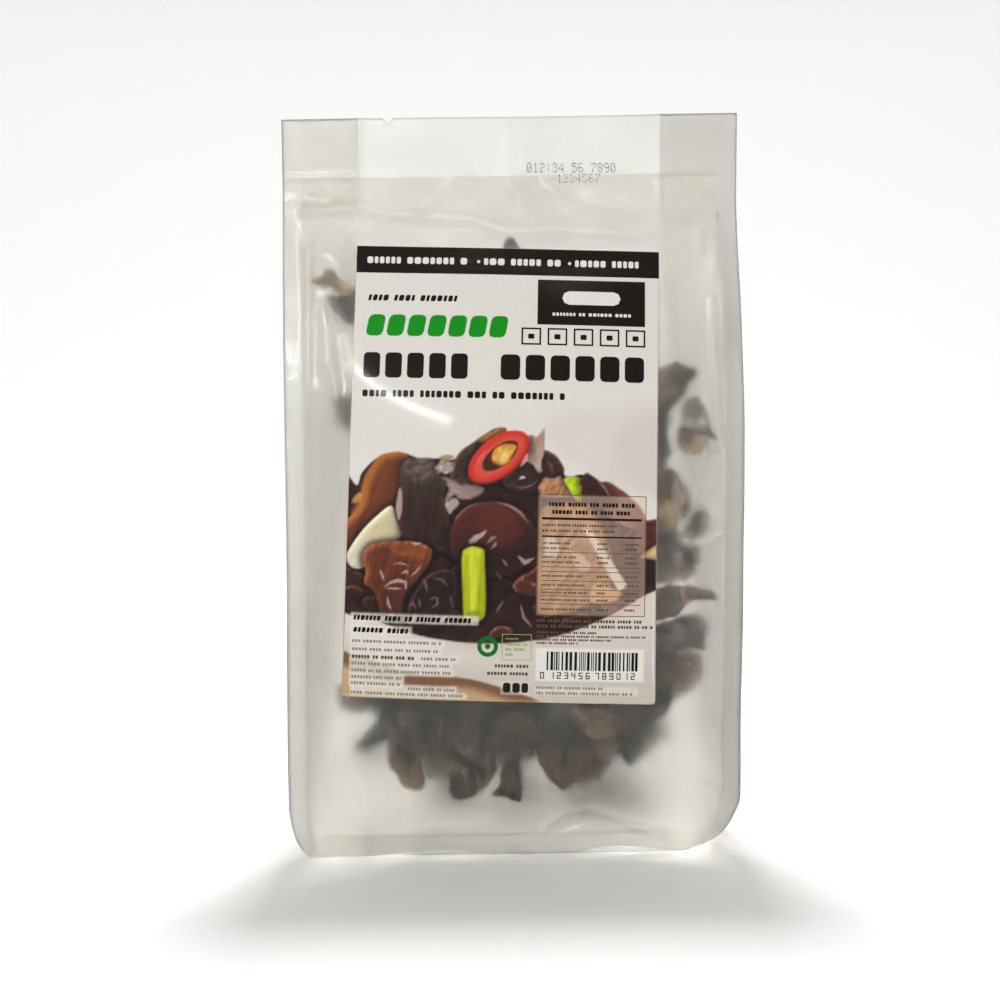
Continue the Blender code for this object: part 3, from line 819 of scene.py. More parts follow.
def build_pile():
    ears = []
    pile = Pile()
    for x, z, size, curl, rx, ry, rz, seed in SHOWN:
        sample = ear_sheet(seed, size, curl, 4, 14)
        turn = rotation(math.radians(rx), math.radians(ry), math.radians(rz))
        world = sample @ turn.T
        shift = max(-depth_at(x + p[0], z + p[2]) + FILM_GAP - p[1] for p in world)
        for step in range(60):
            place = np.array([x, shift + 0.25 * step, z])
            spot = world + place
            if film_room(spot) >= FILM_GAP * 0.9 and pile.clear_of(spot, EAR_GAP):
                break
        else:
            for step in range(200):
                place = np.array([x * (1.0 - 0.004 * step), shift + 0.1 * step, z])
                spot = world + place
                if film_room(spot) >= FILM_GAP * 0.9 and pile.clear_of(spot, EAR_GAP):
                    break
            else:
                continue
        pile.add(spot)
        ears.append((seed, size, curl, turn, place))
    rng = np.random.RandomState(4)
    tries = 0
    while len(ears) < EAR_COUNT and tries < 6000:
        tries += 1
        z = rng.uniform(9.0, 176.0)
        size = rng.uniform(7.6, 10.6)
        curl = rng.uniform(0.7, 1.2)
        x = rng.uniform(-58.0, 58.0)
        y = rng.uniform(-1.0, 1.0) * (corner_depth(z) + 3.0)
        if y < 4.0 and z < 30.0:
            continue
        if y < 0.0 and x < -50.0:
            continue
        seed = 100 + len(ears)
        turn = rotation(rng.uniform(0.0, math.pi), rng.uniform(-0.9, 0.9), rng.uniform(0.0, math.pi))
        sample = ear_sheet(seed, size, curl, 4, 14)
        spot = sample @ turn.T + np.array([x, y, z])
        if not pile.clear_of(spot[::5], EAR_GAP):
            continue
        if film_room(spot) < FILM_GAP or not pile.clear_of(spot, EAR_GAP):
            continue
        pile.add(spot)
        ears.append((seed, size, curl, turn, np.array([x, y, z])))
    return ears, pile


DARKS = np.array(((0.012, 0.010, 0.009), (0.020, 0.016, 0.013), (0.034, 0.026, 0.020), (0.016, 0.014, 0.015)))
BROWNS = np.array(((0.085, 0.052, 0.030), (0.11, 0.072, 0.045), (0.07, 0.046, 0.032)))
TANS = np.array(((0.30, 0.225, 0.14), (0.24, 0.185, 0.125), (0.36, 0.28, 0.18), (0.20, 0.165, 0.125)))


def ear_mesh(seed, size, curl, turn, place, rings, spokes, thick=EAR_T, crisp=1.0):
    """Fine closed mesh of one dried ear: verts (mm), faces, material per face, colour per vertex."""
    mid = ear_sheet(seed, size, curl, rings, spokes)
    rng = np.random.RandomState(seed + 5000)
    ph = rng.uniform(0, 2 * math.pi, 8)
    n = len(mid)
    r = np.concatenate([[0.0], np.repeat(np.arange(1, rings + 1) / float(rings), spokes)])
    th = np.concatenate([[0.0], np.tile(2 * math.pi * np.arange(spokes) / spokes, rings)])
    # drying pulls the outline into a few points with hollows between them
    points = int(rng.randint(3, 6))
    star = 0.13 * (1.0 - np.abs(np.sin(points * 0.5 * (th - ph[4]))) * 1.55) + 0.05 * np.sin(2 * points * th + ph[5])
    grow = 1.0 + crisp * star * r ** 2
    centre = mid[0].copy()
    mid = centre + (mid - centre) * grow[:, None]
    # curled, frilled rim and puckers running in from it
    frill = size * crisp * (0.050 * r ** 4 * np.sin(7 * th + ph[0]) + 0.030 * r ** 3 * np.sin(12 * th + ph[1] + 2.5 * r)
                            + 0.055 * r ** 2 * np.sin(3 * th + ph[2]) + 0.03 * r * np.sin(2 * th + ph[3]))
    # one or two hard folds across the sheet
    fold = rng.uniform(0, math.pi)
    across = (mid[:, 0] - centre[0]) * math.cos(fold) + (mid[:, 1] - centre[1]) * math.sin(fold) + rng.uniform(-0.3, 0.3) * size
    frill += crisp * 0.16 * (np.abs(across) - 0.35 * size) * np.sign(rng.uniform(-1, 1))
    for i in range(n):
        q = Vector((mid[i, 0] * 0.22 + seed, mid[i, 1] * 0.22, seed * 0.37))
        frill[i] += 0.42 * noise.noise(q) + 0.22 * noise.noise(q * 2.9) + 0.10 * noise.noise(q * 6.7)
    tris = []
    for j in range(spokes):
        k = (j + 1) % spokes
        tris.append((0, 1 + j, 1 + k))
        for i in range(rings - 1):
            a, b = 1 + i * spokes, 1 + (i + 1) * spokes
            tris.append((a + j, b + j, b + k))
            tris.append((a + j, b + k, a + k))
    tris = np.array(tris)

    def normals(v):
        f = np.cross(v[tris[:, 1]] - v[tris[:, 0]], v[tris[:, 2]] - v[tris[:, 0]])
        m = np.zeros_like(v)
        for c in range(3):
            np.add.at(m, tris[:, c], f)
        return m / np.maximum(1e-9, np.linalg.norm(m, axis=1, keepdims=True))

    mid = mid + normals(mid) * frill[:, None]
    nor = normals(mid)
    lumps = np.array([noise.noise(Vector((p[0] * 0.6, p[1] * 0.6, p[2] * 0.6 + seed))) for p in mid])
    t = thick * (0.62 + 0.30 * (1 - r) + 0.24 * lumps) / 2.0
    t = t * np.where(r > 0.999, 0.45, 1.0)
    top = mid + nor * t[:, None]
    bot = mid - nor * t[:, None]
    verts = np.concatenate([top, bot]) @ turn.T + place
    faces, fm = [], []
    for j in range(spokes):
        k = (j + 1) % spokes
        faces.append((0, 1 + j, 1 + k)); fm.append(0)
        faces.append((n, n + 1 + k, n + 1 + j)); fm.append(1)
        for i in range(rings - 1):
            a, b = 1 + i * spokes, 1 + (i + 1) * spokes
            faces.append((a + j, b + j, b + k, a + k)); fm.append(0)
            faces.append((n + a + j, n + a + k, n + b + k, n + b + j)); fm.append(1)
        a = 1 + (rings - 1) * spokes
        faces.append((a + j, n + a + j, n + a + k, a + k)); fm.append(1)
    # colours: waxy near-black above with brown or tan where the rim turns; felted below
    dark = DARKS[rng.randint(len(DARKS))]
    edge = (BROWNS if rng.uniform() < 0.5 else TANS)[rng.randint(3)]
    felt = (TANS if rng.uniform() < 0.6 else BROWNS)[rng.randint(3)]
    sector = 0.5 + 0.5 * np.sin(th * rng.randint(1, 3) + ph[6])
    patchy = np.array([noise.noise(Vector((p[0] * 0.16 + seed * 1.7, p[1] * 0.16, 3.1))) for p in mid])
    w = np.clip((r - 0.62) / 0.3, 0, 1) * sector + np.clip(patchy * 2.2 - 0.15, 0, 0.8)
    w = np.clip(w, 0, 1)[:, None]
    upper = dark * (1 - w) + edge * w
    w2 = np.clip(0.5 + patchy * 1.4 - 0.25 * r, 0.0, 1.0)[:, None]
    lower = felt * (1 - 0.55 * w2) + dark * 0.55 * w2
    tone = np.concatenate([upper, lower])
    if rng.uniform() < 0.38:
        fm = [1 - m for m in fm]
        tone = np.concatenate([lower, upper])
    return verts, faces, fm, tone


def set_tone(obj, tone):
    attr = obj.data.color_attributes.new(name="tone", type="FLOAT_COLOR", domain="POINT")
    full = np.ones((len(tone), 4))
    full[:, :3] = tone
    attr.data.foreach_set("color", full.reshape(-1))


def keep_inside(v):
    """Nudge any vertex that a frill pushed towards the film back inside it."""
    lim = v_depth(v[:, 0], v[:, 2]) - 0.35
    v[:, 1] = np.clip(v[:, 1], -lim, lim)
    v[:, 2] = np.maximum(v[:, 2], 0.6)
    return v


def keep_apart(v, tree, gap):
    """Share of the vertices that come nearer than gap to what is already in the tree."""
    return sum(1 for p in v[::3] if tree.find(p)[2] < gap)


def tree_of(points):
    t = KDTree(len(points))
    for i, p in enumerate(points):
        t.insert(p, i)
    t.balance()
    return t


DARK, SOOT, UMBER = (0.014, 0.013, 0.012), (0.030, 0.027, 0.024), (0.060, 0.042, 0.028)
BROWN, TAN, STRAW, MAUVE = (0.13, 0.085, 0.050), (0.30, 0.215, 0.125), (0.44, 0.34, 0.22), (0.11, 0.090, 0.080)

# Ears that lie against the front film, each from its own outline in (x, z).
# node stood for, gap to the film, lean (dy/dx, dy/dz), bow of the rim, colour of the middle, colour of
# the rim, way the rim colour faces (degrees, 0 = +x, 90 = +z, None = all round), streaks, outline
OUTLINES = (
    ("wood_ear_09", 5.2, (-0.20, 0.10), 1.0, SOOT, SOOT, None, 0.3,
     ((-53.3, 33.9), (-50.7, 37.1), (-47, 41.4), (-42.7, 43.9), (-37.5, 44.4), (-38, 38.6), (-45.8, 34.2), (-50.1, 32.4))),
    ("", 7.5, (-0.1, 0.0), 1.0, MAUVE, SOOT, None, 0.3,
     ((-57.7, 50.3), (-56.7, 46.7), (-52.1, 45), (-47.1, 46.2), (-41.3, 48.6), (-41.3, 54.9), (-55.6, 54.8))),
    ("wood_ear_10", 3.4, (0.02, 0.045), 0.5, DARK, TAN, 215.0, 0.5,
     ((-42.2, 52.4), (-40.9, 39.6), (-41.6, 32.4), (-39.4, 25.9), (-34.8, 21.6), (-30.9, 20.5), (-30.1, 25.1),
      (-31, 30.1), (-29.4, 37.3), (-28.2, 45.1), (-28.1, 54.9), (-36, 57.0))),
    ("", 8.5, (0.0, 0.1), -0.8, BROWN, TAN, 270.0, 0.7,
     ((-31.2, 42.2), (-25.5, 43.6), (-22.1, 35.7), (-23.6, 27), (-28, 23.6), (-31, 28.7))),
    ("", 3.0, (0.0, 0.05), -0.6, DARK, UMBER, None, 0.5,
     ((-27.4, 54.1), (-26.6, 39.2), (-23.2, 32.4), (-18.6, 29.9), (-14.3, 32.3), (-11.0, 39.7), (-9.4, 49), (-10.8, 56.2), (-19, 59))),
    ("wood_ear_11", 2.0, (0.0, 0.08), 0.8, DARK, TAN, 290.0, 1.0,
     ((-23.1, 24.6), (-20, 28.7), (-15.4, 31.2), (-10.1, 31.6), (-7.2, 29.6), (-7.8, 25.4), (-10.9, 21.5), (-14.5, 18.9),
      (-18.5, 17.4), (-21.6, 19))),
    ("wood_ear_12", 1.3, (0.10, 0.10), 0.4, DARK, DARK, None, 0.2,
     ((-8.8, 20.0), (-6.3, 22.8), (-4.8, 28.7), (0.5, 30.1), (1.4, 23.3), (0.3, 17.5), (-3.6, 18.7), (-6.9, 19.3))),
    ("", 4.6, (0.0, -0.02), -1.0, UMBER, BROWN, 260.0, 0.8,
     ((-9, 40.2), (-2.8, 46.1), (4.2, 44.9), (7.4, 36.6), (6.2, 32.6), (1.2, 30.9), (-4.5, 29.9), (-9.6, 32.3))),
    ("wood_ear_13", 3.4, (0.0, 0.062), 0.5, DARK, BROWN, 270.0, 0.12,
     ((4.3, 50.3), (5.9, 38.9), (7.2, 29.6), (8.6, 25.2), (12.4, 22.3), (16.7, 21.4), (20.9, 22.5), (25.9, 25.6),
      (29.6, 28.2), (30.9, 35), (31.7, 44.2), (28.2, 53.4), (15.6, 57.4))),
    ("", 1.1, (0.0, 0.0), 0.3, BROWN, TAN, None, 1.0,
     ((16.9, 46.7), (23.9, 47.1), (31.6, 44.6), (32.7, 40), (28.1, 37.1), (22.4, 37.7), (18.6, 41.3))),
    ("wood_ear_14", 5.2, (0.05, 0.02), 0.8, SOOT, DARK, None, 0.4,
     ((33.2, 45.2), (32.3, 35.1), (33.6, 30.1), (36.8, 28.1), (39.8, 30), (41.8, 35.7), (44.7, 42.1), (46.9, 49.9),
      (42.6, 55.2), (34.9, 55.3))),
    ("", 8.0, (0.1, 0.0), 0.8, UMBER, BROWN, 20.0, 0.6,
     ((42.3, 58.1), (45, 44.6), (47.8, 43.9), (51.4, 50.3), (53, 57.4), (47.3, 62.3))),
    ("", 31.0, (0.0, 0.0), 0.8, DARK, SOOT, None, 0.2,
     ((32.2, 9.6), (34.9, 14.1), (43.7, 14.2), (47.8, 10.2), (45.2, 7.6), (36.2, 7.4))),
    ("wood_ear_03", 3.2, (0.10, -0.03), 0.8, MAUVE, BROWN, 200.0, 0.8,
     ((44, 150), (48.7, 155), (52.5, 157.5), (57, 156.2), (60.4, 154.9), (60.3, 152.8), (57.8, 150.7), (56.6, 147.0),
      (53.1, 143.6), (48.1, 139.5), (43, 143.4))),
    # wood_ear_04: its paler rim colour, turned to the left (180 degrees), is a painted highlight
    ("wood_ear_04", 1.6, (0.03, 0.02), 0.3, (0.46, 0.46, 0.465), (0.6, 0.59, 0.57), 180.0, 0.4,
     ((54.4, 141.5), (57.2, 145.6), (61.0, 145.2), (63.0, 140.5), (64.2, 135.2), (66.3, 131.6), (62.6, 133), (57.6, 134.7),
      (54.6, 137.4))),
    ("", 3.6, (0.0, 0.0), 0.5, TAN, TAN, None, 0.5,
     ((53.8, 136.3), (58.7, 134.6), (63.0, 132.4), (62.5, 129.1), (58.5, 127.0), (53.5, 129))),
    ("", 5.0, (0.1, 0.0), 0.8, DARK, SOOT, None, 0.5,
     ((41.2, 154.6), (47.9, 155.7), (51.0, 143.5), (50.4, 133.5), (51.1, 126.4), (46.3, 122.2), (40.7, 131.2))),
    ("", 4.0, (0.1, 0.0), 0.8, TAN, BROWN, 0.0, 0.8,
     ((42.1, 123.5), (48.6, 123.4), (52.6, 121), (56.5, 114.4), (57.3, 110.8), (54.2, 105.5), (48, 101.7), (41.5, 103.2))),
    ("wood_ear_05", 5.6, (0.0, 0.0), 0.5, UMBER, BROWN, 0.0, 0.5,
     ((54.4, 101.8), (57.2, 107.5), (60.4, 109.6), (62.9, 108.2), (62.7, 104.5), (60.8, 101.0), (57.4, 99.5))),
    ("", 7.4, (0.0, 0.0), 0.5, SOOT, DARK, None, 0.4,
     ((41.8, 104.6), (48.3, 104.6), (53.7, 101.2), (52.4, 97.4), (44.8, 95.6))),
    ("", 4.4, (0.05, 0.0), 0.7, MAUVE, SOOT, 140.0, 0.8,
     ((42.9, 96.2), (51.1, 98.2), (57.4, 97.6), (59.8, 95.6), (58.6, 91.3), (56.5, 87.8), (50, 85.6), (42.7, 86.2))),
    ("wood_ear_06", 1.7, (0.03, 0.0), 0.4, BROWN, TAN, 0.0, 0.6,
     ((41.7, 82.3), (47.4, 85), (54.6, 85), (59, 84.2), (62.2, 83.2), (65.0, 81.6), (64.6, 80.1), (61.8, 80.6),
      (57.8, 80.4), (54.5, 78.5), (50.4, 75.3), (42.3, 74.4))),
    ("wood_ear_07", 3.4, (0.05, 0.0), 0.5, MAUVE, SOOT, None, 0.9,
     ((41.5, 71), (48.9, 74.1), (55.8, 75.8), (62.0, 73.1), (61.2, 68.3), (60.3, 64.3), (54.4, 65), (47.9, 62.2), (42.2, 62.3))),
    ("wood_ear_08", 5.8, (0.06, 0.0), 0.5, BROWN, TAN, 20.0, 0.7,
     ((45.6, 60.8), (52.9, 64.2), (59, 62.9), (59.6, 56), (56.9, 51.9), (51.5, 48.7), (45.4, 48.1))),
    ("", 2.4, (0.0, 0.0), 0.5, SOOT, UMBER, None, 0.6,
     ((39.8, 58.8), (46.6, 60.6), (49.6, 54.7), (49.2, 47.2), (45.2, 42.6), (38.8, 44.4))),
    ("wood_ear_01", 1.3, (0.10, 0.0), 0.3, TAN, TAN, None, 0.8,
     ((-66.0, 186.6), (-63.2, 188.0), (-60.3, 189.9), (-58.9, 190.5), (-57.7, 188.5), (-55.2, 185.9), (-51.5, 184.4),
      (-51.2, 180.5), (-58, 181.4), (-62.4, 184.2), (-64.9, 185.4))),
    ("", 3.4, (0.1, 0.0), 0.5, SOOT, MAUVE, 180.0, 0.6,
     ((-60.2, 182.6), (-57.8, 184.0), (-50.8, 183.6), (-47.1, 176.2), (-49.7, 170.7), (-54.4, 172.0), (-58.0, 175.5),
      (-59.8, 179.1))),
    ("wood_ear_02", 8.0, (0.1, 0.0), 0.5, SOOT, MAUVE, 180.0, 0.4,
     ((-59.0, 146.5), (-57.0, 148.1), (-50.2, 147.5), (-49.1, 139.9), (-54.4, 136.3), (-57.2, 140.6))),
    ("", 7.6, (0.0, 0.05), 0.6, DARK, UMBER, None, 0.6,
     ((-13, 30.5), (-8, 29.0), (-2.0, 31.5), (-0.5, 38), (-3, 46), (-8, 52), (-14.5, 47), (-15.0, 38))),
    ("", 9.5, (0.0, 0.05), 0.6, DARK, SOOT, None, 0.4,
     ((26.5, 33.5), (31.5, 30.5), (37.5, 34.5), (38.5, 46), (33, 56), (25, 52), (24.0, 42))),
    ("", 6.4, (0.0, 0.05), 0.6, DARK, UMBER, None, 0.5,
     ((-32, 42.0), (-28.2, 38.5), (-23.6, 41.5), (-22.5, 48), (-25.0, 57), (-31, 58), (-34.0, 50))),
    ("", 8.2, (0.0, 0.05), 0.6, DARK, BROWN, 270.0, 0.5,
     ((-0.5, 31.5), (3.5, 29.5), (8.5, 32.5), (10.5, 40), (9, 50), (3, 55), (-1.5, 47))),
    ("", 8.8, (0.0, 0.05), 0.6, SOOT, UMBER, None, 0.5,
     ((-46, 44.0), (-41.2, 37.5), (-36.6, 34.5), (-33.5, 40), (-36.0, 52), (-42, 57), (-47.0, 52))),
    ("", 12.0, (0.0, 0.05), 0.6, SOOT, UMBER, None, 0.6,
     ((-37, 36.5), (-31, 30.0), (-25.0, 29.0), (-20, 36), (-19.5, 48), (-27, 55), (-35.0, 50))),
    ("", 12.5, (0.0, 0.05), 0.6, SOOT, UMBER, None, 0.6,
     ((-14, 34.5), (-9, 27.0), (-2.0, 26.0), (4, 30), (6.5, 44), (0, 54), (-10.0, 52))),
    ("", 13.5, (0.0, 0.05), 0.6, DARK, UMBER, None, 0.6,
     ((7, 40.5), (12, 33.0), (20.0, 32.0), (25, 38), (25.5, 50), (18, 60), (9.0, 56))),
    ("", 33.0, (0.0, 0.0), 0.8, SOOT, BROWN, None, 0.3,
     ((-30, 12.6), (-24, 9.1), (-15.7, 10.2), (-12, 16.2), (-16, 23.6), (-26.0, 24.4))),
    ("", 36.0, (0.0, 0.0), 0.8, UMBER, BROWN, None, 0.3,
     ((-8, 11.6), (-2, 7.1), (6.7, 8.2), (10, 15.2), (6, 22.6), (-4.0, 23.4))),
    ("", 33.0, (0.0, 0.0), 0.8, UMBER, SOOT, None, 0.3,
     ((13, 10.6), (19, 7.6), (27.7, 9.2), (29, 16.2), (26, 22.6), (17.0, 22.4))),
    ("wood_ear_15", 1.2, (0.0, 0.0), 0.2, SOOT, DARK, None, 0.4,
     ((-4.6, 190.4), (-2.4, 196.9), (-0.6, 200.3), (1.6, 198.6), (3.8, 195.0), (5.6, 190.3), (0.4, 186.4))),
)


def closed_loop(pts, n):
    """n points, evenly spaced, on a smooth closed curve through pts."""
    p = np.array(pts, dtype=float)
    m = len(p)
    out = []
    for k in range(m):
        a, b, c, d = p[k - 1], p[k], p[(k + 1) % m], p[(k + 2) % m]
        for t in np.linspace(0, 1, 12, endpoint=False):
            out.append(0.5 * (2 * b + (c - a) * t + (2 * a - 5 * b + 4 * c - d) * t * t + (3 * b - a - 3 * c + d) * t ** 3))
    q = np.array(out + out[:1])
    run = np.concatenate([[0.0], np.cumsum(np.hypot(*np.diff(q, axis=0).T))])
    s = np.linspace(0, run[-1], n, endpoint=False)
    return np.stack([np.interp(s, run, q[:, 0]), np.interp(s, run, q[:, 1])], axis=1)


def sheet_faces(n, rings, spokes):
    faces, fm = [], []
    for j in range(spokes):
        k = (j + 1) % spokes
        faces.append((0, 1 + j, 1 + k)); fm.append(0)
        faces.append((n, n + 1 + k, n + 1 + j)); fm.append(1)
        for i in range(rings - 1):
            a, b = 1 + i * spokes, 1 + (i + 1) * spokes
            faces.append((a + j, b + j, b + k, a + k)); fm.append(0)
            faces.append((n + a + j, n + a + k, n + b + k, n + b + j)); fm.append(1)
        a = 1 + (rings - 1) * spokes
        faces.append((a + j, n + a + j, n + a + k, a + k)); fm.append(1)
    return faces, fm


def drawn_ear(gap, lean, bow, middle, rim, way, streaks, outline, seed):
    """Closed mesh of an ear with a given outline, pressed towards the front film."""
    rings, spokes = ((14, 64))
    loop = closed_loop(outline, spokes)
    if np.sum(loop[:, 0] * np.roll(loop[:, 1], -1) - np.roll(loop[:, 0], -1) * loop[:, 1]) < 0:
        loop = loop[::-1]
    c = loop.mean(axis=0)
    size = float(np.hypot(*(loop - c).T).mean())
    rng = np.random.RandomState(seed)
    ph = rng.uniform(0, 2 * math.pi, 8)
    r = np.concatenate([[0.0], np.repeat(np.arange(1, rings + 1) / float(rings), spokes)])
    edge = np.concatenate([[[0.0, 0.0]], np.tile(loop - c, (rings, 1))])
    th = np.arctan2(edge[:, 1], edge[:, 0])
    run = np.concatenate([[0.0], np.tile(2 * math.pi * np.arange(spokes) / spokes, rings)])
    ragged = 1.0 + 0.035 * r ** 3 * (np.sin(9 * run + ph[0]) + 0.7 * np.sin(17 * run + ph[1]))
    x = c[0] + edge[:, 0] * r * ragged
    z = c[1] + edge[:, 1] * r * ragged
    y = gap + lean[0] * (x - c[0]) + lean[1] * (z - c[1]) + bow * r ** 2
    y += 0.35 * r ** 3 * np.sin(6 * run + ph[2]) + 0.22 * r ** 2 * np.sin(11 * run + ph[3])
    y += 0.30 * r * np.sin(2 * th + ph[4])
    y += np.array([0.55 * noise.noise(Vector((a * 0.17, b * 0.17, seed))) + 0.30 * noise.noise(Vector((a * 0.5, b * 0.5, seed)))
                   + 0.12 * noise.noise(Vector((a * 1.3, b * 1.3, seed))) for a, b in zip(x, z)])
    y = np.maximum(y, 1.05 + 0.12 * np.sin(x * 0.9) * np.sin(z * 1.1))
    t = 0.95 * (0.62 + 0.36 * (1 - r)) / 2.0 * np.where(r > 0.999, 0.35, 1.0)
    d = -v_depth(x, z)
    verts = np.concatenate([np.stack([x, d + y - t, z], axis=1), np.stack([x, d + y + t, z], axis=1)])
    faces, fm = sheet_faces(len(x), rings, spokes)
    # colour: rim and streaks over the middle tone
    if way is None:
        aim = np.full(len(x), 0.55)
    else:
        aim = np.clip(0.5 + 0.75 * np.cos(th - math.radians(way)), 0, 1)
    blur = np.array([noise.noise(Vector((a * 0.22 + seed, b * 0.22, 1.7))) for a, b in zip(x, z)])
    w = np.clip((r * (0.35 + aim) - 0.62 + 0.35 * blur) / 0.35, 0, 1) * np.clip(aim * 1.4, 0, 1)
    u = math.radians(rng.uniform(55, 125))
    along, across = x * math.cos(u) + z * math.sin(u), -x * math.sin(u) + z * math.cos(u)
    bands = np.array([noise.noise(Vector((a * 0.07, b * 0.55, seed * 1.3))) for a, b in zip(along, across)])
    w = np.clip(w + streaks * np.clip(bands * 3.4, -0.6, 1.0) * (0.35 + 0.65 * r), 0, 1)
    w = (w * w * (3 - 2 * w))[:, None]
    front_tone = np.array(middle) * (1 - w) + np.array(rim) * w
    cloud = np.array([noise.noise(Vector((a * 0.13, b * 0.13, seed * 2.1))) + 0.5 * noise.noise(Vector((a * 0.4, b * 0.4, seed * 0.9)))
                      for a, b in zip(x, z)])
    front_tone = front_tone * np.exp(1.5 * cloud - 0.75)[:, None]
    q = np.clip(cloud * 2.4 - 0.55, 0, 0.75)[:, None] * min(1.0, 0.4 + streaks)
    front_tone = front_tone * (1 - q) + np.array(BROWN if np.mean(middle) < 0.1 else STRAW) * q
    # along thin noise lines, stronger towards the rim, the colour turns pale tan
    pinch = np.array([noise.noise(Vector((a * 0.05 + 9.0, b * 0.21, seed * 1.9))) for a, b in zip(along, across)])
    ridge = np.clip(1.0 - np.abs(pinch) * 22.0, 0, 1) * np.clip(1.3 * r, 0, 1)
    ridge = (0.65 * ridge * min(1.0, 0.3 + streaks))[:, None]
    front_tone = np.clip(front_tone * (1 - ridge) + np.array(TAN) * ridge, 0.004, 0.8)
    back_tone = np.array(rim) * 0.7 * np.ones_like(w)
    return verts, faces, fm, np.concatenate([front_tone, back_tone])


ears, pile = build_pile()
drift = 0.0
taken = []
stood_for = set()
loose = {}
for i, (node, gap, lean, bow, middle, rim, way, streaks, outline) in enumerate(OUTLINES):
    v, f, fm, tone = drawn_ear(gap, lean, bow, middle, rim, way, streaks, outline, 400 + i)
    v = keep_inside(v)
    crowd = keep_apart(v, tree_of(taken), 0.2) if taken else 0
    room = film_room(v)
    if crowd or room < 0.3:
        print("shown ear", i + 1, node, "close to another at", crowd, "points; least room", round(float(room), 2))
    taken.extend(v.tolist())
    if node:
        lo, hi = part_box(node)
        mid = (np.array(lo) + np.array(hi)) / 2.0 / MM
        off = np.abs(mid - (v.min(axis=0) + v.max(axis=0)) / 2.0)
        drift = max(drift, float(off.max()))
        stood_for.add(node)
        obj = new_object("dried_" + node, v, f, [EAR_UPPER, EAR_FELT], fm)
        set_tone(obj, tone)
        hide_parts(node)
        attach(obj, "root")
    else:
        side = "right" if v[:, 0].mean() > 40 and v[:, 2].mean() > 60 else "low" if v[:, 2].mean() < 60 else "left"
        loose.setdefault(side, []).append((v, f, fm, tone))
print("largest distance of a shown ear from its CAD solid, mm:", round(drift, 2))
drift = 0.0
for i, (seed, size, curl, turn, place) in enumerate(ears):
    node = "wood_ear_%02d" % (i + 1)
    if node in stood_for:
        continue
    rings, spokes = ((13, 44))
    tree = tree_of(taken)
    for crisp in (1.0, 0.7, 0.4, 0.15):
        v, f, fm, tone = ear_mesh(seed, size, curl, turn, place, rings, spokes, crisp=crisp)
        v = keep_inside(v)
        hits = keep_apart(v, tree, 0.35)
        if hits == 0:
            break
    push = 0
    while hits and push < 16:
        # make way for the ears at the film by moving a little deeper or outwards
        push += 1
        shift = np.array([0.0, 0.3 * push * (1 if place[1] < 0 else -1) * (1 if push % 2 else -1), 0.25 * push * (1 if push % 3 else -1)])
        q = keep_inside(v + shift)
        again = keep_apart(q, tree, 0.25)
        if again == 0 and film_room(q) > 0.25:
            v, hits = q, 0
    if hits:
        print(node, "still touches at", hits, "points")
    taken.extend(v.tolist())
    lo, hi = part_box(node)
    want = (Vector(lo) + Vector(hi)) / 2.0 / MM
    have = (v.min(axis=0) + v.max(axis=0)) / 2.0
    drift = max(drift, float(np.abs(np.array(want) - have).max()))
    obj = new_object("dried_" + node, v, f, [EAR_UPPER, EAR_FELT], fm)
    set_tone(obj, tone)
    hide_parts(node)
    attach(obj, "root")
print("largest distance of another ear from its CAD solid, mm:", round(drift, 3))

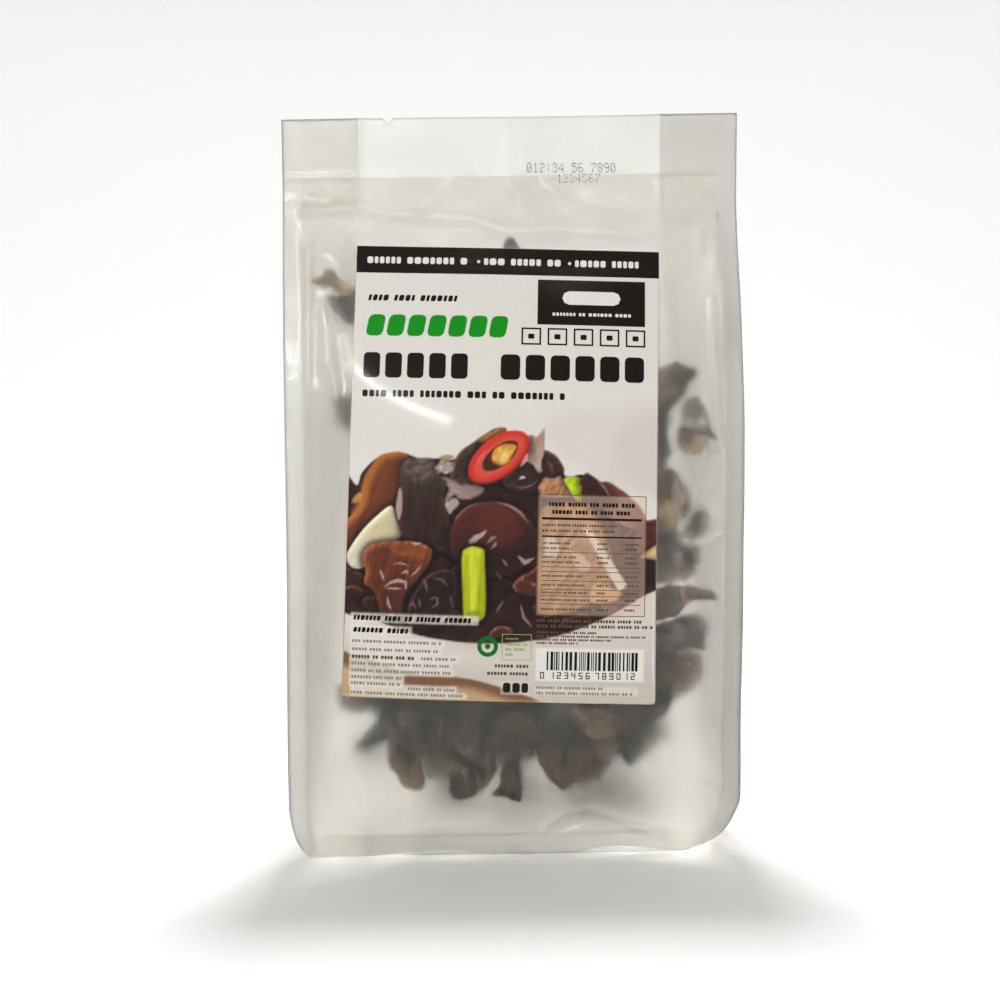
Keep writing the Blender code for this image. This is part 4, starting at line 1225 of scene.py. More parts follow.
# Smaller ears and broken pieces fill in between, joined by zone.
LOW_FRONT = ((-60.0, 60.0), (-50.0, 46.0), (-45.0, 36.0), (-38.0, 24.0), (-28.0, 22.0), (-5.0, 20.0), (5.0, 27.0),
             (15.0, 25.0), (28.0, 28.0), (35.0, 34.0), (45.0, 45.0), (55.0, 54.0), (66.0, 70.0))
SMALL_COUNT = 175
rng = np.random.RandomState(8)
small = []
tree = tree_of(taken)
tries = 0
zones = {}
while len(small) < SMALL_COUNT and tries < 9000:
    tries += 1
    front = rng.uniform() < 0.5
    z = rng.uniform(10.0, 190.0) if rng.uniform() < 0.5 else rng.uniform(14.0, 64.0)
    x = rng.uniform(-56.0, 62.0)
    size = rng.uniform(3.6, 7.4)
    if len(small) < SMALL_COUNT * 0.3:
        # first the dark crowd behind the low front row
        front, z, x, size = True, rng.uniform(33.0, 60.0), rng.uniform(-38.0, 46.0), rng.uniform(5.0, 7.6)
    deep = depth_at(x, z)
    if front:
        y = -deep + rng.uniform(2.6, 11.0) + size * 0.3
    else:
        y = rng.uniform(-0.4, 1.0) * deep
    low = float(np.interp(x, [q[0] for q in LOW_FRONT], [q[1] for q in LOW_FRONT]))
    if y < 2.0 and z < low + size * 0.8:
        continue
    if x < -50.0 and z > 48.0:
        continue
    if z > 168.0 and abs(x) > 44.0:
        continue
    if z > 192.0 - size:
        continue
    if tree.find((x, y, z))[2] < 1.6:
        continue
    seed = 3000 + tries
    curl = rng.uniform(0.8, 1.7)
    turn = rotation(rng.uniform(0.0, math.pi), rng.uniform(-1.0, 1.0), rng.uniform(0.0, math.pi))
    if front and rng.uniform() < 0.6:
        turn = rotation(math.pi / 2 + rng.uniform(-0.5, 0.5), rng.uniform(-1.5, 1.5), rng.uniform(-0.4, 0.4))
    place = np.array([x, y, z])
    probe = ear_sheet(seed, size, curl, 2, 9) @ turn.T + place
    if any(tree.find(p)[2] < 0.9 for p in probe):
        continue
    if film_room(probe) < 0.9:
        continue
    v, f, fm, tone = ear_mesh(seed, size, curl, turn, place, 8, 26, thick=0.95)
    v = keep_inside(v)
    if any(tree.find(p)[2] < 0.4 for p in v[::4]):
        continue
    small.append((v, f, fm, tone))
    key = ("front" if y < 0 else "back") + "_" + ("low" if z < 60 else "mid" if z < 120 else "high")
    zones.setdefault(key, []).append(len(small) - 1)
    taken.extend(v.tolist())
    if len(small) % 3 == 0:
        tree = tree_of(taken)
print("small ears:", len(small), "after", tries, "tries;", {k: len(q) for k, q in zones.items()})


def joined(name, parts):
    vs, fs, ms, ts, base = [], [], [], [], 0
    for v, f, fm, tone in parts:
        vs.append(v)
        ts.append(tone)
        fs.extend([tuple(q + base for q in face) for face in f])
        ms.extend(fm)
        base += len(v)
    obj = new_object(name, np.concatenate(vs), fs, [EAR_UPPER, EAR_FELT], ms)
    set_tone(obj, np.concatenate(ts))
    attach(obj, "root")
    return obj


for key in sorted(zones):
    joined("small_ears_" + key, [small[q] for q in zones[key]])
for key in sorted(loose):
    joined("loose_ears_" + key, loose[key])


# ---------------------------------------------------------------- stamp of dots on the top seal
FONT = {"0": "01110 10001 10011 10101 11001 10001 01110", "1": "00100 01100 00100 00100 00100 00100 01110",
        "2": "01110 10001 00001 00110 01000 10000 11111", "3": "01110 10001 00001 00110 00001 10001 01110",
        "4": "00010 00110 01010 10010 11111 00010 00010", "5": "11111 10000 11110 00001 00001 10001 01110",
        "6": "01110 10000 10000 11110 10001 10001 01110", "7": "11111 00001 00010 00100 01000 01000 01000",
        "8": "01110 10001 10001 01110 10001 10001 01110", "9": "01110 10001 10001 01111 00001 00001 01110",
        ":": "00000 00100 00100 00000 00100 00100 00000"}


def stamp_material():
    mat, nt, out = node_material("stamp_ink")
    tc = nt.nodes.new("ShaderNodeTexCoord")
    sh = nt.nodes.new("ShaderNodeBsdfPrincipled")
    n = noise_node(nt, tc.outputs["Object"], 900.0, 3.0)
    r = ramp_node(nt, n.outputs["Fac"], [(0.3, (0.10, 0.10, 0.095)), (0.7, (0.26, 0.26, 0.25))])
    link(nt, r.outputs["Color"], sh.inputs["Base Color"])
    sh.inputs["Roughness"].default_value = 0.6
    link(nt, sh.outputs[0], out.inputs["Surface"])
    return mat


dots_v, dots_f = [], []
rng = np.random.RandomState(6)
for text, x0, z0, step, tall, soft_dots in (("012:34 56 7890", 6.0, 224.9, 2.14, 3.3, 0.0), ("1234567", 16.0, 221.1, 2.1, 3.0, 0.12)):
    for q, ch in enumerate(text):
        if ch == " ":
            continue
        for row, bits in enumerate(FONT[ch].split()):
            for c, bit in enumerate(bits):
                if bit == "0" or rng.uniform() < 0.04 + soft_dots:
                    continue
                cx = x0 + q * step + c * 1.62 / 5 + rng.uniform(-0.03, 0.03)
                cz = z0 - row * tall / 7.0 - q * 0.035 + rng.uniform(-0.03, 0.03)
                rad = 0.2 * (1.0 - soft_dots)
                base = len(dots_v) * 12
                ring = [(cx + rad * math.cos(t), cz + rad * math.sin(t)) for t in np.linspace(0, 2 * math.pi, 6, endpoint=False)]
                pts = []
                for lift in (FILM_T / 2 + 0.045, FILM_T / 2 - 0.01):
                    for x, z in ring:
                        xa, za = np.array([x]), np.array([z])
                        wave = 0.35 * vstep(BAG_HEIGHT - 30, BAG_HEIGHT, za) * np.sin(xa * 0.062 + 0.6)
                        y = -(v_depth(xa, za) + limit_detail(xa, za, front_detail(xa, za))) + wave - lift
                        pts.append((x, float(y[0]), z))
                dots_v.append(pts)
                dots_f.append(tuple(range(base, base + 6)))
                dots_f.append(tuple(range(base + 11, base + 5, -1)))
                for k in range(6):
                    m = (k + 1) % 6
                    dots_f.append((base + k, base + 6 + k, base + 6 + m, base + m))
stamp = new_object("date_stamp", [p for d in dots_v for p in d], dots_f, [stamp_material()], smooth_faces=False)
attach(stamp, "root")


# ---------------------------------------------------------------- the label
# Label millimetres: a to the right and b up from its middle.  The sheet is turned by LABEL_TILT.
COS_T, SIN_T = math.cos(LABEL_TILT), math.sin(LABEL_TILT)
PAPER_LIFT = 0.24          # middle of the paper over the middle of the film
PAPER_T = 0.14


def label_plane(a, b):
    return (LABEL_X + (a * COS_T + b * SIN_T) * 0.993, LABEL_Z + (-a * SIN_T + b * COS_T) * 0.987)


def label_surface(a, b, lift):
    x, z = label_plane(np.asarray(a, dtype=float), np.asarray(b, dtype=float))
    # the lower right corner has let go of the film a little
    loose = 0.9 * np.clip((np.asarray(a) * 0.75 - np.asarray(b) - 96.0) / 14.0, 0.0, 1.0) ** 2
    y = -(v_depth(x, z) + slack(x, z)) - lift - loose
    return np.stack([x, y, z], axis=-1)


# A painted dish, worked out as overlapping soft-edged shapes on a fine raster of label points.
PX = 0.25
NA, NB = int(LABEL_W / PX) + 1, int(LABEL_H / PX) + 1
AA, BB = np.meshgrid(np.linspace(-50.0, 50.0, NA), np.linspace(-74.0, 74.0, NB))


def lattice(a, b, pitch, seed, octaves=3):
    rng = np.random.RandomState(seed)
    out, amp, total = 0.0, 1.0, 0.0
    for k in range(octaves):
        t = rng.uniform(-1.0, 1.0, (64, 64))
        u = a / pitch * 2 ** k + 17.3 * k
        v = b / pitch * 2 ** k + 9.1 * k
        i, j = np.floor(u).astype(int), np.floor(v).astype(int)
        f, g = u - i, v - j
        f, g = f * f * (3 - 2 * f), g * g * (3 - 2 * g)
        i0, i1, j0, j1 = i % 64, (i + 1) % 64, j % 64, (j + 1) % 64
        val = (t[j0, i0] * (1 - f) + t[j0, i1] * f) * (1 - g) + (t[j1, i0] * (1 - f) + t[j1, i1] * f) * g
        out = out + amp * val
        total += amp
        amp *= 0.5
    return out / total * 1.5


def curve(pts, n=6):
    """Closed smooth curve through the points."""
    p = np.array(pts, dtype=float)
    m = len(p)
    out = []
    for i in range(m):
        p0, p1, p2, p3 = p[(i - 1) % m], p[i], p[(i + 1) % m], p[(i + 2) % m]
        for k in range(n):
            t = k / float(n)
            out.append(0.5 * (2 * p1 + (p2 - p0) * t + (2 * p0 - 5 * p1 + 4 * p2 - p3) * t * t
                              + (3 * p1 - p0 - 3 * p2 + p3) * t ** 3))
    return np.array(out)


def reach_in(poly, a, b):
    """Distance to the outline, positive inside."""
    best = np.full(a.shape, 1e9)
    inside = np.zeros(a.shape, dtype=bool)
    m = len(poly)
    for i in range(m):
        x0, y0 = poly[i]
        x1, y1 = poly[(i + 1) % m]
        dx, dy = x1 - x0, y1 - y0
        t = np.clip(((a - x0) * dx + (b - y0) * dy) / max(1e-9, dx * dx + dy * dy), 0, 1)
        best = np.minimum(best, (a - x0 - t * dx) ** 2 + (b - y0 - t * dy) ** 2)
        if y0 != y1:
            cross = ((y0 > b) != (y1 > b)) & (a < (b - y0) * dx / dy + x0)
            inside ^= cross
    d = np.sqrt(best)
    return np.where(inside, d, -d)


def rgb(r, g, b):
    return np.array((r, g, b), dtype=float) / 255.0


class Picture:
    def __init__(self, ground):
        self.c = np.empty(AA.shape + (3,))
        self.c[:] = ground
        self.clip = None
        self.solid = None

    def window(self, poly, margin=4.5):
        lo, hi = poly.min(axis=0) - margin, poly.max(axis=0) + margin
        i0 = max(0, int((lo[0] + 50.0) / PX))
        i1 = min(NA, int((hi[0] + 50.0) / PX) + 2)
        j0 = max(0, int((lo[1] + 74.0) / PX))
        j1 = min(NB, int((hi[1] + 74.0) / PX) + 2)
        return slice(j0, j1), slice(i0, i1)

    def patch(self, pts, body, edge=None, depth=2.5, lit=0.0, soft=0.2, shadow=0.0, grain=None,
              alpha=1.0, ramp=None, rough=0.0, seed=1, smooth_curve=True, light=(-0.45, 0.9)):
        poly = curve(pts) if smooth_curve else np.array(pts, dtype=float)
        w = self.window(poly)
        a, b = AA[w], BB[w]
        if a.size == 0:
            return
        if rough:
            d = reach_in(poly, a + rough * lattice(a, b, 1.3, seed), b + rough * lattice(a, b, 1.3, seed + 50))
        else:
            d = reach_in(poly, a, b)
        clip = 1.0 if self.clip is None else self.clip[w]
        if shadow:
            fade = shadow * np.exp(-(np.clip(-d, 0, None) / 1.5) ** 2) * (d < 0) * clip
            if self.solid is not None:
                fade = fade * self.solid[w]
            self.c[w] *= (1.0 - fade)[..., None]
        edge = body if edge is None else edge
        t = np.clip(d / depth, 0, 1)
        t = (t * t * (3 - 2 * t))[..., None]
        fill = np.asarray(body)
        if ramp is not None:
            (rx, ry), colour, start, end = ramp
            q = np.clip(((a * rx + b * ry) - start) / (end - start), 0, 1)[..., None]
            fill = fill * (1 - q) + colour * q
            edge = edge * (1 - q) + (colour * 0.9 + edge * 0.1) * q
        c = edge * (1 - t) + fill * t
        if lit:
            gy, gx = np.gradient(d, PX)
            facing = -(gx * light[0] + gy * light[1])
            c = c * (1.0 + lit * facing * (1 - t[..., 0]) ** 1.5)[..., None]
        if grain is not None:
            angle, along, across, amount = grain
            u = a * math.cos(angle) + b * math.sin(angle)
            v = -a * math.sin(angle) + b * math.cos(angle)
            c = c * (1.0 + amount * lattice(u / along, v / across, 1.0, seed + 7))[..., None]
        m = np.clip((d + soft) / (2 * soft), 0, 1)
        m = (m * m * (3 - 2 * m) * alpha * clip)[..., None]
        self.c[w] = self.c[w] * (1 - m) + np.clip(c, 0, 1) * m
        if self.solid is not None:
            self.solid[w] = np.maximum(self.solid[w], m[..., 0] * (m[..., 0] > 0.5))

    def stroke(self, pts, width, colour, alpha=0.8, soft=0.12):
        """A tapered stroke along a short path."""
        p = np.array(pts, dtype=float)
        t = np.linspace(0, 1, len(p))
        q = np.linspace(0, 1, 9)
        x, y = np.interp(q, t, p[:, 0]), np.interp(q, t, p[:, 1])
        dx, dy = np.gradient(x), np.gradient(y)
        n = np.hypot(dx, dy) + 1e-9
        w = width * np.sin(np.pi * np.clip(q, 0.04, 0.96)) / 2.0
        left = np.stack([x - dy / n * w, y + dx / n * w], axis=1)
        right = np.stack([x + dy / n * w, y - dx / n * w], axis=1)[::-1]
        self.patch(np.concatenate([left, right]), colour, soft=soft, alpha=alpha, smooth_curve=False)


def paint_label():
    pic = Picture(rgb(224, 220, 212))
    # a blurred backdrop behind the dish, to the right
    for pts, col, al in (
            ([(14, 16), (30, 20), (52, 21), (54, -4), (40, -6), (24, 2), (16, 8)], rgb(214, 205, 198), 0.55),
            ([(38, 14), (54, 18), (54, -8), (42, -4), (36, 4)], rgb(212, 196, 188), 0.5),
            ([(22, 12), (30, 15), (34, 8), (26, 4)], rgb(222, 214, 208), 0.5)):
        pic.patch(pts, col, soft=3.2, alpha=al)
    # bowl, table and the bowl's shadow
    bowl = [(-52, -38), (-38.5, -47), (-22, -52), (-3.5, -54), (15, -52), (31, -46), (44, -38), (56, -28),
            (60, -60), (56, -80), (20, -80), (14, -74), (8, -71.6), (1.5, -69.6), (-8, -67.2), (-17, -66.2),
            (-27, -66), (-40, -62), (-52, -57)]
    pic.patch([(-56, -52), (60, -52), (60, -80), (-56, -80)], rgb(192, 158, 120), soft=0.1, smooth_curve=False,
              grain=(0.02, 26.0, 1.4, 0.05), seed=5)
    pic.patch([(-54, -54), (-38, -60), (-26, -64.5), (-14, -64.5), (2, -68), (12, -73), (4, -73.5),
               (-10, -69.8), (-28, -70.0), (-54, -62)], rgb(98, 64, 38), soft=1.6, alpha=0.75)
    pic.patch(bowl, rgb(222, 215, 206), edge=rgb(206, 195, 184), depth=7.0, soft=0.25,
              ramp=((0.25, -1.0), rgb(206, 194, 182), 50.0, 76.0))
    # dark mound inside the bowl
    pic.solid = np.zeros(AA.shape)
    mound = [(-53, -3), (-47, -6), (-45.5, -2), (-40.5, 3), (-33.5, 5), (-27, 3.2), (-21, 3.2), (-15.5, 3.2),
             (-10.5, 8), (-3, 12.5), (8, 11), (13, 7), (18, 3.6), (20, -1.5), (26, -1), (31, -3), (36, -4.5),
             (41, -8), (46, -15), (53, -17), (53, -34), (44.3, -40.3), (31.5, -47.6), (15.6, -53.4),
             (-3.4, -55.6), (-22.4, -54.2), (-38.3, -49.6), (-53, -42.6)]
    pic.patch(mound, rgb(44, 24, 21), edge=rgb(60, 34, 27), depth=3.0, soft=0.2, grain=(0.3, 7.0, 2.0, 0.22), seed=9)
    pic.clip = np.clip(reach_in(curve(mound), AA, BB) / 0.3 + 0.4, 0, 1)
    rng = np.random.RandomState(12)
    for k in range(46):
        ca, cb = rng.uniform(-48, 48), rng.uniform(-52, -10)
        r = rng.uniform(2.6, 6.0)
        ph = rng.uniform(0, 2 * math.pi, 3)
        pts = []
        for j in range(9):
            t = 2 * math.pi * j / 9
            rr = r * (1 + 0.22 * math.cos(2 * t + ph[0]) + 0.14 * math.cos(3 * t + ph[1]))
            pts.append((ca + rr * math.cos(t) * 1.15, cb + rr * math.sin(t) * 0.85))
        tone = rng.uniform(0.0, 1.0)
        body = rgb(34, 19, 18) * (1 - tone) + rgb(70, 36, 28) * tone
        pic.patch(pts, body, edge=body * 1.35 + 0.02, depth=1.6, lit=0.55, soft=0.2, shadow=0.35,
                  grain=(rng.uniform(0, 3), 3.5, 1.0, 0.25), seed=int(rng.randint(1000)))
        if rng.uniform() < 0.7:
            t0 = rng.uniform(1.2, 2.6)
            arc = [(ca + r * 0.72 * math.cos(t0 + q) * 1.15, cb + r * 0.72 * math.sin(t0 + q) * 0.85)
                   for q in np.linspace(0, rng.uniform(0.5, 1.2), 5)]
            pic.stroke(arc, rng.uniform(0.3, 0.8), rgb(150, 118, 112), alpha=rng.uniform(0.35, 0.8))
    pic.clip = None
    # amber ear at the left
    pic.patch([(-54, -28), (-51, -19), (-47, -14), (-45.5, -10), (-45, -5.5), (-43.5, -1.5), (-40.5, 3),
               (-37.5, 4.6), (-33.5, 5), (-30, 3.6), (-29.5, 0), (-32, -4), (-33, -9), (-35, -12), (-39, -15.2),
               (-43, -18.4), (-46.5, -22), (-50, -27)], rgb(112, 58, 32), edge=rgb(150, 84, 44), depth=3.4,
              lit=0.25, shadow=0.3, ramp=((0.62, -0.5), rgb(46, 26, 20), -21.0, -12.0), grain=(1.1, 9.0, 1.2, 0.16), seed=21)
    pic.patch([(-48.5, -15), (-46.4, -10), (-45.2, -5), (-43.4, -1.2), (-40.5, 2.6), (-38, 3.8), (-40.5, -1),
               (-42.4, -6), (-43.4, -11), (-45.4, -15)], rgb(176, 106, 44), soft=1.1, alpha=0.75, seed=22)
    pic.patch([(-47.8, -9.8), (-46.2, -8.4), (-45.0, -9.0), (-46.2, -11.4), (-48.4, -11.6)], rgb(206, 160, 84), soft=0.4, alpha=0.8)
    # garlic slice
    pic.patch([(-35.6, -12.4), (-34, -16), (-32.8, -19.4), (-32.2, -22.4), (-36, -24.2), (-40.5, -25), (-43, -27.6),
               (-43, -31.4), (-45.5, -33), (-48.4, -32), (-49.6, -29), (-48.4, -26), (-44.6, -20.4), (-40, -15.6)],
              rgb(206, 192, 152), edge=rgb(226, 216, 186), depth=2.4, lit=0.14, shadow=0.45,
              ramp=((-0.6, -0.6), rgb(220, 212, 188), 36.0, 48.0), grain=(0.9, 6.0, 1.6, 0.05), seed=23)
    # upright dark tongue
    pic.patch([(-32, 1.5), (-30, 3), (-26.5, 3.2), (-23, 3.2), (-21.5, 1.5), (-21.6, -0.6), (-19.5, -3), (-18, -5.5),
               (-18.8, -9), (-18, -12.5), (-17, -16.5), (-16, -20), (-19, -23.5), (-23.5, -25), (-28, -24.6),
               (-31.5, -22.5), (-33, -17), (-33.8, -12.6), (-33, -7), (-33, -2.2)],
              rgb(50, 30, 26), edge=rgb(70, 44, 36), depth=2.6, lit=0.4, shadow=0.5,
              ramp=((0.0, 1.0), rgb(66, 54, 47), -12.0, 0.0), grain=(1.5, 8.0, 1.2, 0.2), seed=31)
    pic.patch([(-31.4, 1.4), (-29, 2.6), (-24.4, 2.6), (-22, 0.4), (-23, -3.4), (-27, -4.6), (-31, -3.2)],
              rgb(104, 88, 80), soft=1.2, alpha=0.5, rough=0.5, grain=(0.4, 1.2, 0.8, 0.5), seed=33)
    pic.patch([(-33, -6.4), (-32.2, -8.4), (-32, -13.5), (-33, -17), (-34, -13.5), (-33.6, -9)], rgb(172, 146, 136), soft=0.25)
    # violet-grey sheen and the dark piece above it
    pic.patch([(-15.5, 3), (-13.5, 6), (-10.5, 8.2), (-6.5, 11), (-3, 13.2), (0.4, 13.4), (-0.5, 10.5), (-4.4, 8.5),
               (-7.5, 5.5), (-9.4, 2), (-9.6, -2.5), (-11, -6), (-14.5, -5.4), (-17, -1.5)],
              rgb(62, 46, 40), edge=rgb(82, 62, 50), depth=1.6, lit=0.4, shadow=0.3, grain=(0.8, 3.0, 0.8, 0.3), seed=35)
    pic.patch([(-8.4, 9.6), (-6, 11.4), (-2.6, 13.4), (0.6, 13.6), (0.2, 11.8), (-3, 10.6), (-6, 8.6)],
              rgb(188, 138, 70), edge=rgb(140, 92, 48), depth=0.9, soft=0.3, grain=(0.6, 2.0, 0.6, 0.22), seed=36)
    pic.patch([(-19.8, -2.6), (-16, -3.6), (-12.5, -5), (-8, -5.2), (-6, -7), (-9.6, -9.6), (-13.6, -9.8), (-15, -8.6),
               (-16.8, -10), (-17.6, -13.5), (-18.6, -10), (-17.4, -6)], rgb(156, 132, 126), edge=rgb(120, 96, 92),
              depth=0.9, soft=0.3, rough=0.35, grain=(-0.3, 3.0, 0.8, 0.12), seed=37)
    pic.patch([(-21.6, 1.4), (-19.6, 2.6), (-16.4, 2.2), (-15.8, -0.6), (-18, -2.0), (-21.2, -1.0)],
              rgb(176, 154, 142), edge=rgb(112, 90, 82), depth=0.8, soft=0.3, rough=0.6, grain=(0.3, 1.0, 0.8, 0.25), seed=38)
    pic.patch([(-20.6, 3.4), (-18.6, 4.4), (-15.8, 4.0), (-17.6, 2.8)], rgb(150, 120, 80), soft=0.3, alpha=0.8)
    # the big round ear in the middle, with its bright rim
    disc = [(-2.6 + 14.0 * math.cos(t), -22.5 + 12.2 * math.sin(t)) for t in np.linspace(0, 2 * math.pi, 16, endpoint=False)]
    pic.patch(disc, rgb(40, 20, 18), edge=rgb(50, 27, 23), depth=2.4, lit=0.3, shadow=0.5,
              ramp=((-0.25, 1.0), rgb(84, 36, 28), -27.0, -14.0), grain=(0.5, 9.0, 2.2, 0.16), seed=41)
    pic.stroke([(-15.2, -17.6), (-13.6, -14.4), (-10.4, -11.8), (-6, -10.5)], 0.55, rgb(150, 122, 112), alpha=0.8)
    pic.stroke([(-1.6, -10.5), (2.6, -11.6), (6.0, -13.8), (8.6, -17.2)], 0.7, rgb(170, 142, 132), alpha=0.9)
    pic.patch([(-5, -14), (1, -13), (5, -15.6), (6.2, -20), (2, -24), (-4, -24), (-7, -19)], rgb(98, 42, 32), soft=2.0, alpha=0.6)
    # small glossy piece beside the rim
    pic.patch([(-17.4, -10.4), (-15.2, -9.6), (-14, -11), (-15.4, -13.4), (-17, -14.6), (-17.8, -12.6)], rgb(206, 196, 182), soft=0.3, alpha=0.75, rough=0.4, seed=43)
    # red-brown ear low at the left, folded and shining
    pic.patch([(-44.4, -29), (-42, -25.4), (-36.5, -24), (-32, -23.6), (-26.5, -24), (-22.4, -26), (-22.4, -29.4),
               (-24.4, -33), (-27, -36.6), (-29.4, -39.4), (-31, -44), (-31, -47.5), (-37.6, -47.5), (-39, -43),
               (-41, -39.4), (-43.6, -37.6), (-43.2, -33.8)],
              rgb(96, 47, 29), edge=rgb(126, 66, 40), depth=2.6, lit=0.3, shadow=0.6,
              ramp=((0.1, -1.0), rgb(52, 26, 22), 30.0, 46.0), grain=(1.35, 10.0, 0.9, 0.26), seed=51)
    pic.patch([(-36, -24.6), (-30, -24.4), (-25, -25.6), (-24, -28.4), (-28, -29.6), (-34, -28)], rgb(146, 76, 42), soft=1.2, alpha=0.65, grain=(0.2, 5.0, 0.7, 0.2), seed=52)
    for pts, wd in (([(-37.2, -38.6), (-35, -37), (-32.6, -36.2), (-30.2, -36.8), (-30, -39)], 1.1),
                    ([(-36.8, -38.7), (-33.6, -38.9), (-31.4, -38.7)], 0.7),
                    ([(-35, -30.9), (-32, -30.7), (-29.2, -31.4)], 0.5), ([(-31.8, -34), (-30, -33.2), (-29.6, -34.4)], 0.8),
                    ([(-38.6, -32.6), (-37.8, -34.8), (-37.2, -36.6)], 0.7), ([(-36, -41.4), (-35.6, -43.6), (-34.6, -46)], 0.8),
                    ([(-28.8, -35), (-27.0, -33.4), (-25.2, -31)], 0.5), ([(-29, -23.9), (-27.2, -24.5), (-25.4, -24.1)], 0.8)):
        pic.stroke(pts, wd, rgb(196, 168, 158), alpha=0.85)
    # folds right of it
    pic.patch([(-29, -44), (-26, -38), (-22.5, -34), (-18, -32.4), (-14.4, -34), (-14, -42), (-17, -49), (-24, -51.6), (-29, -50)],
              rgb(38, 22, 22), edge=rgb(66, 40, 36), depth=1.6, lit=0.5, shadow=0.4, grain=(0.9, 5.0, 0.9, 0.3), seed=61)
    for pts, wd, al in (([(-24.6, -35.4), (-23.6, -37.6), (-23.2, -39.6)], 0.9, 0.55), ([(-21.6, -35.2), (-18.6, -35.6), (-16.4, -38)], 0.7, 0.5),
                        ([(-22.6, -42), (-20, -41.2), (-19.8, -43.6), (-22, -44.6)], 0.8, 0.6), ([(-25.8, -41.6), (-25.2, -45)], 0.8, 0.5),
                        ([(-28.8, -45), (-27.6, -43.2), (-26.6, -45.4)], 0.9, 0.5), ([(-15.8, -40), (-15, -44.6)], 0.7, 0.4),
                        ([(-20.8, -47), (-18.4, -48.6)], 0.6, 0.4)):
        pic.stroke(pts, wd, rgb(164, 134, 134), alpha=al)
    pic.patch([(-10.6, -22.8), (-8.4, -21), (-5, -19.8), (-6.6, -22), (-9.4, -24)], rgb(176, 156, 156), soft=0.2, rough=0.4, seed=63)
    pic.stroke([(-4.6, -23.8), (-3, -22), (-1.4, -21.4)], 1.0, rgb(160, 134, 134), alpha=0.8)
    pic.stroke([(-3.4, -25.6), (-2, -24.2), (-1.8, -23)], 0.8, rgb(168, 142, 142), alpha=0.8)
    for pts, wd, al in (([(0.4, -28.6), (2.2, -31)], 0.7, 0.7), ([(-1.4, -46), (1.2, -41.6)], 0.8, 0.5), ([(6.4, -42.6), (7.6, -47), (10.2, -50)], 0.7, 0.8),
                        ([(5.4, -27.4), (7.6, -29.6), (10.6, -28)], 1.5, 0.85), ([(-1.6, -32.6), (0.4, -35.4)], 0.5, 0.45), ([(3.6, -36), (5.8, -39.8)], 0.5, 0.4),
                        ([(1.4, -50.2), (4.4, -51)], 0.5, 0.5), ([(9.6, -36), (11.4, -37)], 0.7, 0.6)):
        pic.stroke(pts, wd, rgb(186, 150, 146), alpha=al)
    # spring onion stalk, cut square
    pic.patch([(-12.4, -27), (-11.4, -25.6), (-9.4, -24.8), (-6.8, -25.2), (-5.3, -26.4), (-5, -32), (-4.6, -40), (-4.6, -45.6),
               (-5.6, -48), (-8.4, -48.8), (-10.6, -48.2), (-11.6, -45.8), (-12, -38.5), (-12.5, -31.5)],
              rgb(184, 192, 22), edge=rgb(150, 158, 16), depth=1.0, lit=0.1, shadow=0.6, grain=(1.545, 14.0, 0.5, 0.14), seed=71)
    pic.patch([(-10, -27.4), (-8.4, -26.6), (-7.9, -34), (-7.8, -44), (-9, -46), (-9.7, -40), (-9.9, -33)], rgb(214, 220, 70), soft=0.5, alpha=0.65)
    pic.patch([(-11.8, -26.6), (-9.2, -25.2), (-6, -26), (-7, -27.4), (-10.4, -27.6)], rgb(206, 216, 60), soft=0.4, alpha=0.7)
    pic.patch([(-10.6, -46.2), (-8.6, -45.2), (-6, -46), (-6.6, -48), (-9.6, -48.4)], rgb(120, 126, 20), soft=0.7, alpha=0.6)
    # ear with a glassy top, right of the chilli
    pic.patch([(0, -3.4), (3, -0.4), (6.5, 3), (9.5, 2.6), (13, 6.4), (16, 5.6), (18, 3.6), (19.6, 0.5), (18.6, -2.6),
               (15.6, -3.4), (13, -5), (10, -6.8), (5, -7), (1.4, -5.8)], rgb(58, 36, 33), edge=rgb(78, 52, 47),
              depth=1.8, lit=0.5, shadow=0.4, grain=(0.5, 4.0, 1.0, 0.3), seed=81)
    pic.stroke([(5.2, -3.0), (6.2, -2.2), (7.2, -2.6)], 0.9, rgb(214, 202, 196), alpha=0.9)
    pic.stroke([(3, -4.6), (6, -5.8), (9.6, -4.8), (11.4, -2.8)], 0.5, rgb(128, 104, 100), alpha=0.8)
    pic.stroke([(14.0, 3.6), (15.6, 1.4), (15.8, -0.6)], 1.2, rgb(116, 78, 66), alpha=0.7)
    pic.patch([(8, 11.4), (10.5, 11.6), (12.9, 13.8), (13.2, 10), (13, 6), (12.2, 2.5), (12.5, -0.2), (11.4, -0.6),
               (9.5, 2), (6.8, 3.6), (7.4, 7.5)], rgb(166, 138, 122), edge=rgb(196, 172, 156), depth=1.2, lit=0.25,
              shadow=0.3, grain=(1.4, 4.0, 0.7, 0.16), seed=83)
    pic.patch([(13, -2.6), (16, -2.4), (18.8, -1.8), (21.5, -6), (22.6, -8), (18, -8.6), (13.4, -8.4), (11.4, -6.2)],
              rgb(168, 116, 78), edge=rgb(150, 112, 98), depth=1.4, soft=0.3, shadow=0.3, rough=0.3, grain=(0.9, 2.0, 0.7, 0.3), seed=85)
    pic.patch([(19.6, -2.6), (22.4, -1.6), (25.4, -3), (25.8, -9), (23.4, -9), (21.4, -5.8)], rgb(184, 214, 16),
              edge=rgb(206, 226, 110), depth=0.8, soft=0.25, shadow=0.3, grain=(0.8, 2.0, 0.8, 0.16), seed=86)
    pic.patch([(32, -3.4), (34.5, -3.4), (37, -5), (40, -7.5), (44, -10.6), (46, -15.6), (42, -18), (34, -14), (31, -9)],
              rgb(112, 62, 48), edge=rgb(140, 84, 66), depth=1.3, lit=0.2, shadow=0.3, grain=(-0.7, 6.0, 1.0, 0.2), seed=87)
